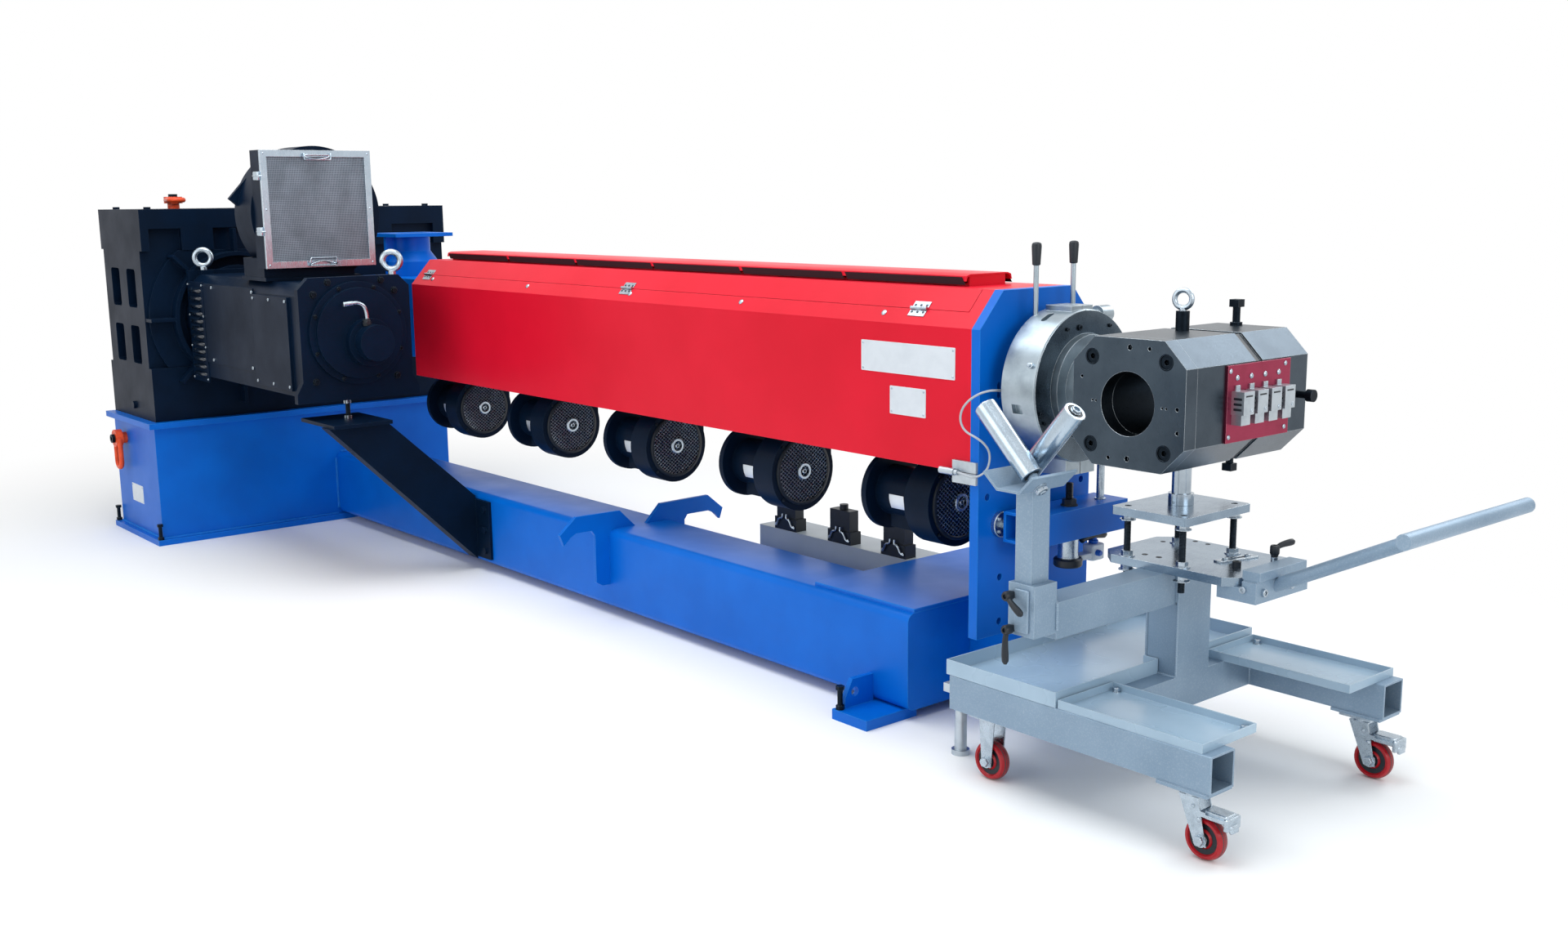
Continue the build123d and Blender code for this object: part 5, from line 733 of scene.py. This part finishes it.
def dress_support():
    """Threaded jacking screws with bright nuts, the pillar's black foot collar, and the tapped holes and slotted
    strip on the lower table."""
    threads, nuts = [], []
    for x in (357, 527):
        for y in (-52.5, 168.5):
            threads.append(turned((x, y, 511), up, [(0, 7)] + thread(1, 3, 65, 9.2, 7.9) + [(198, 7)], 16))
            nuts += [turned((x, y, z), up, [(0, 21), (2.5, 21), (2.5, 15.5, 6), (14.2, 15.5, 6), (15, 14)])
                     for z in (541, table_top, 674)]
    piece("jack_screw_threads", threads, "black_steel", replaces="jack_screws")
    piece("jack_screw_nuts", nuts, "zinc_steel")
    collar = turned((437, 62, 711), up, [(0, 30), (13, 30), (15, 28), (15, 25.3), (0, 25.3)], 48, wrap=True)
    piece("pillar_collar", [collar, cap_screw((437, 32, 719), near, 4, 3)], "black_steel")
    holes = [turned((x, y, table_top), up, [(-0.5, size), (0.4, size), (0.4, 0.72 * size), (0.1, 0.68 * size)])
             for x, y, size in ((381, -8, 8), (425, -8, 8), (324, 149, 7), (381, 215, 7), (424, 210, 7))]
    piece("table_hole_rims", holes, "black_steel")
    # The strip is drawn lying along X and is then turned and carried to its place
    outline = rounded((-66, -14), (66, 14), 4)
    slot = rounded((-50, -5), (50, 5), 4.9)
    centre, turn = (572, 118), math.radians(77.6)
    spin = np.array(((math.cos(turn), math.sin(turn)), (-math.sin(turn), math.cos(turn))))
    rows = []
    for ring, z in ((outline, 0), (outline, 3.2), (outline * (0.99, 0.96), 4), (slot, 4), (slot, 0.3)):
        rows.append(np.column_stack([ring @ spin + centre, np.full(len(ring), table_top + z)]))
    strip = [skin(rows, wrap=True)]
    strip += [cap_screw((*(centre + end * spin[0]), table_top + 4), up, 7, 5) for end in (-38, 38)]
    piece("table_slotted_strip", strip, "zinc_steel")


def grip_lever(hub, out, tip):
    """A clamping lever: a turned hub, and a grip that swells along a smooth line from the hub to its round tip."""
    root = hub + unit(out) * 20
    line = through([root, root + (tip - root) * 0.35 + unit(out) * 4, tip], 8)
    width = np.interp(np.linspace(0, 1, len(line)), (0, 0.3, 0.85, 0.95, 1), (6, 6.5, 9, 8, 4))
    helper = (0, 0, 1) if abs(unit(tip - root)[2]) < 0.8 else (1, 0, 0)
    return [turned(hub, out, [(0, 9), (6, 9), (6, 10.5), (10, 12), (26, 12), (30, 10), (30, 6, 6), (26, 5.5, 6)]),
            carried(line, width, 12, helper=helper)]


def dress_levers():
    """Black hand levers on the socket and on the table, the tapered grips of the clamp ring, and the socket's pad
    and welds."""
    grips = grip_lever((419, socket_near, 578), near, (467, -590, 540))
    grips += grip_lever((419, socket_near, 496), near, (418, -590, 412))
    grips += grip_lever((673, 132, 600), up, (690, 192, 634))
    grips.append(cap_screw((617, 52, table_top), up, 11, 14))
    grips += [turned((54, y, 1321), up, [(0, 9), (2, 11), (50, 13.5), (57, 12.5), (60, 9), (61, 4)], 28)
              for y in (-77, 77)]
    piece("hand_levers", grips, "black_plastic", replaces="clamp_levers")
    stem = turned((673, 132, table_top), up, [(0, 14), (3, 14), (3, 9), (22, 9)])
    piece("table_lever_stem", [stem], "zinc_steel")
    pads = [block((428, socket_near - 6, 492), (470, socket_near + 1, 596), 1.5, 4, 1)]
    pads += [weld((x, -486, 556), (x, -486, 490), 4) for x in (404, 486)]
    pads.append(weld((404, -486, 557), (486, -486, 557), 4))
    piece("socket_pads", pads, "grey_paint")


def dress_frame():
    """Weld beads on the blue frame and the trolley, screws in the trays and in the pull block, and the ends of the
    shackles' pins."""
    face = beam_rear - 1
    beads = [
        weld((face, beam_near - 2, beam_bottom + 22), (face, beam_near - 2, beam_top - 26), 7),
        weld((face, beam_near + 22, beam_top + 1), (face, beam_far - 22, beam_top + 1), 7),
        weld((face, beam_far + 2, beam_bottom + 22), (face, beam_far + 2, beam_top - 26), 7),
        weld((beam_rear + 1, pedestal_near + 4, 26), (beam_rear + 1, beam_near - 8, 26), 6),
        weld((-4696, pedestal_near - 1, 26), (beam_rear - 4, pedestal_near - 1, 26), 6),
        weld((-32, -160, 307), (-32, 160, 307), 5),
    ]
    piece("frame_weld_beads", beads, "blue_paint")
    beads = [weld((396, -9, 269), (489, -9, 269), 4), weld((406, -9, 466), (484, -9, 466), 4)]
    for x in (395, 490):
        beads.append(weld((x, -9, 272), (x, -9, 552), 3))
        beads += [weld((x, y, 180), (x, y, 266), 4) for y in (-331, 331)]
    beads += [weld((x, -9, 470), (x, -9, 552), 4) for x in (405, 485)]
    piece("trolley_weld_beads", beads, "grey_paint")
    screws = [hex_bolt((x, y, tray_top), up, 8, 12)
              for x, y in ((463, -219), (465, 405), (833, -222), (833, 222), (90, -400))]
    screws += [cap_screw((740.3, y, 547), forward, 10, 8) for y in (-20, 100)]
    screws.append(cap_screw((705, -51, 553), near, 9, 7))
    piece("tray_screws", screws, "zinc_steel")
    piece("shackle_screws", [cap_screw((-4552, pedestal_near - 52, 440), near, 20, 14),
                             cap_screw((-4492, -790, 1534), up, 20, 12)], "black_steel")


def dress_casters():
    """Worn treads and hub rings of the wheels, nuts on their axles, and the pedals' bent lips."""
    tread = [(-8, 49.5), (-8, 50.75), (-5, 51.55), (0, 52.12), (5, 51.55), (8, 50.75), (8, 49.5)]
    hub_ring = [(12, 20.3), (17, 19.5), (17, 14), (12, 14)]
    bearing = [(12, 14), (18.4, 13.4), (18.4, 8.4), (12, 8.4)]
    for end, x in (("rear", fixed_wheel), ("front", swivel_wheel)):
        for name, y in (("near", -caster_side), ("far", caster_side)):
            centre, wheel, body = (x, y, wheel_radius), f"wheel_{end}_{name}", "machine"
            rings, bearings, hardware = [], [], []
            for out in (near, far):
                rings.append(turned(centre, out, [(8, 38), (11.4, 37.4), (11.4, 24.5), (8, 24)], 48, wrap=True))
                rings.append(turned(centre, out, hub_ring, 36, wrap=True))
                bearings.append(turned(centre, out, bearing, 30, wrap=True))
                hardware.append(turned(centre, out, [(24, 17), (26, 17), (26, 13, 6), (35, 13, 6), (36, 11)]))
            if end == "front":
                body = f"swivel_{name}"
                hardware += [block((x + 5, y - 20, 104), (x + 66, y + 20, 126), 2, 4),
                             block((x + 60, y - 27, 92), (x + 72, y + 27, 122), 2, 4),
                             block((x + 67, y - 15, 86), (x + 77, y + 15, 104), 2, 5)]
                for step in (-1, 1):
                    hardware.append(rivet((x - 6, y + step * 24, 100), (0, step, 0), 6))
                    hardware.append(rivet((x - 22, y + step * 24, 128), (0, step, 0), 5))
            treads = [turned(centre, far, tread, 64, wrap=True)]
            piece(f"{end}_wheel_{name}_tread", treads, "tread", worn_tread, wheel)
            piece(f"{end}_wheel_{name}_rings", rings, "black_plastic", body=wheel)
            piece(f"{end}_wheel_{name}_bearing", bearings, "zinc_steel", body=wheel)
            piece(f"{end}_caster_{name}_hardware", hardware, "zinc_steel", body=body)


def dress_box():
    """Locking levers of the upright connectors on the junction box, their pivots and the cable glands' tops."""
    levers = []
    for x in (-1325, -1040, -775):
        for side in (-1, 1):
            for y, out in ((201, -1), (251, 1)):
                line = through([(x + side * 52, y + out, 346), (x + side * 40, y + out * 5, 352),
                                (x + side * 28, y + out * 6, 372), (x + side * 12, y + out * 5, 378),
                                (x + side * 10, y + out * 3, 392)], 5)
                levers.append(carried(line, 3.4, 8, helper=far))
                levers.append(rivet((x + side * 46, y + out * 2, 350), (0, out, 0), 6))
        levers.append(turned((x, 226, 449), up, [(0, 13, 6), (10, 13, 6), (11, 11), (16, 10.5)], 18))
    piece("connector_locking_levers", levers, "zinc_steel")


def background_rays(tree):
    """A share that is 1 for rays that show the background: straight ones, and those off gloss or through glass."""
    path = add(tree, "LightPath").outputs
    seen = add(tree, "Math", {0: path["Is Camera Ray"], 1: path["Is Glossy Ray"]}, operation="MAXIMUM")
    return add(tree, "Math", {0: seen, 1: path["Is Transmission Ray"]}, operation="MAXIMUM")


def light_scene():
    """A floor that keeps the machine's shadow and is plain white beyond an oval of 1.6 to 3 metres round it, a
    white room and four soft lamps."""
    stage_mesh = bpy.data.meshes.new("studio_floor")
    stage_mesh.from_pydata([(-30, -30, 0), (30, -30, 0), (30, 30, 0), (-30, 30, 0)], [], [(0, 1, 2, 3)])
    floor = new_object("studio_floor", stage_mesh)
    paper, tree, place = new_material("pale_studio_floor")
    centred = add(tree, "VectorMath", {0: place, 1: (2.0, 0.2, 0)}, operation="ADD")
    narrowed = add(tree, "VectorMath", {0: centred, 1: (0.55, 1.0, 1.0)}, operation="MULTIPLY")
    distance = add(tree, "VectorMath", {0: narrowed}, operation="LENGTH")
    away = add(tree, "MapRange", {"Value": distance.outputs["Value"], "From Min": 1.6, "From Max": 3.0},
               interpolation_type="SMOOTHSTEP")
    white = add(tree, "Math", {0: away, 1: background_rays(tree)}, operation="MULTIPLY")
    matt = add(tree, "BsdfPrincipled", {"Base Color": linear("#FAFAFA"), "Roughness": 0.8})
    glow = add(tree, "Emission", {"Color": (1, 1, 1, 1)})
    shader = add(tree, "MixShader", {0: white, 1: matt, 2: glow})
    add(tree, "OutputMaterial", {"Surface": shader})
    stage_mesh.materials.append(paper)

    world = bpy.data.worlds.new("white_room")
    world.use_nodes = True
    tree = world.node_tree
    tree.nodes.clear()
    strength = add(tree, "MapRange", {"Value": background_rays(tree), "To Min": 0.5})
    room = add(tree, "Background", {"Color": (1, 1, 1, 1), "Strength": strength})
    add(tree, "OutputWorld", {"Surface": room})
    bpy.context.scene.world = world

    def lamp(name, place, aim, size, power):
        light = bpy.data.lights.new(name, "AREA")
        light.shape = "RECTANGLE"
        light.size, light.size_y = size
        light.color = (0.92, 0.97, 1.0)
        light.energy = power
        direction = Vector(aim) - Vector(place)
        turned_to = direction.to_track_quat("-Z", "Y").to_matrix().to_4x4()
        new_object(name, light).matrix_world = Matrix.Translation(place) @ turned_to

    lamp("overhead_softbox", (-1.5, -1.0, 5.5), (-1.5, 0, 0.5), (6, 4), 270)
    lamp("front_softbox", (-1.5, -5.5, 2.6), (-1.6, 0, 0.8), (6, 2.5), 66)
    lamp("back_softbox", (0.9, 5.8, 5.2), (-0.4, 0, 0.6), (4, 2), 130)
    lamp("end_softbox", (5.6, -0.9, 2.8), (-1.0, 0, 0.7), (3.5, 2.5), 90)


place_camera()
lay_sensor_cable(grey_jacket)
dress_nodes()
dress_cover()
dress_filter()
dress_motor()
dress_blowers()
dress_crosshead()
dress_rollers()
dress_arm()
dress_support()
dress_levers()
dress_frame()
dress_casters()
dress_box()
light_scene()

bpy.context.scene.view_settings.view_transform = "Standard"
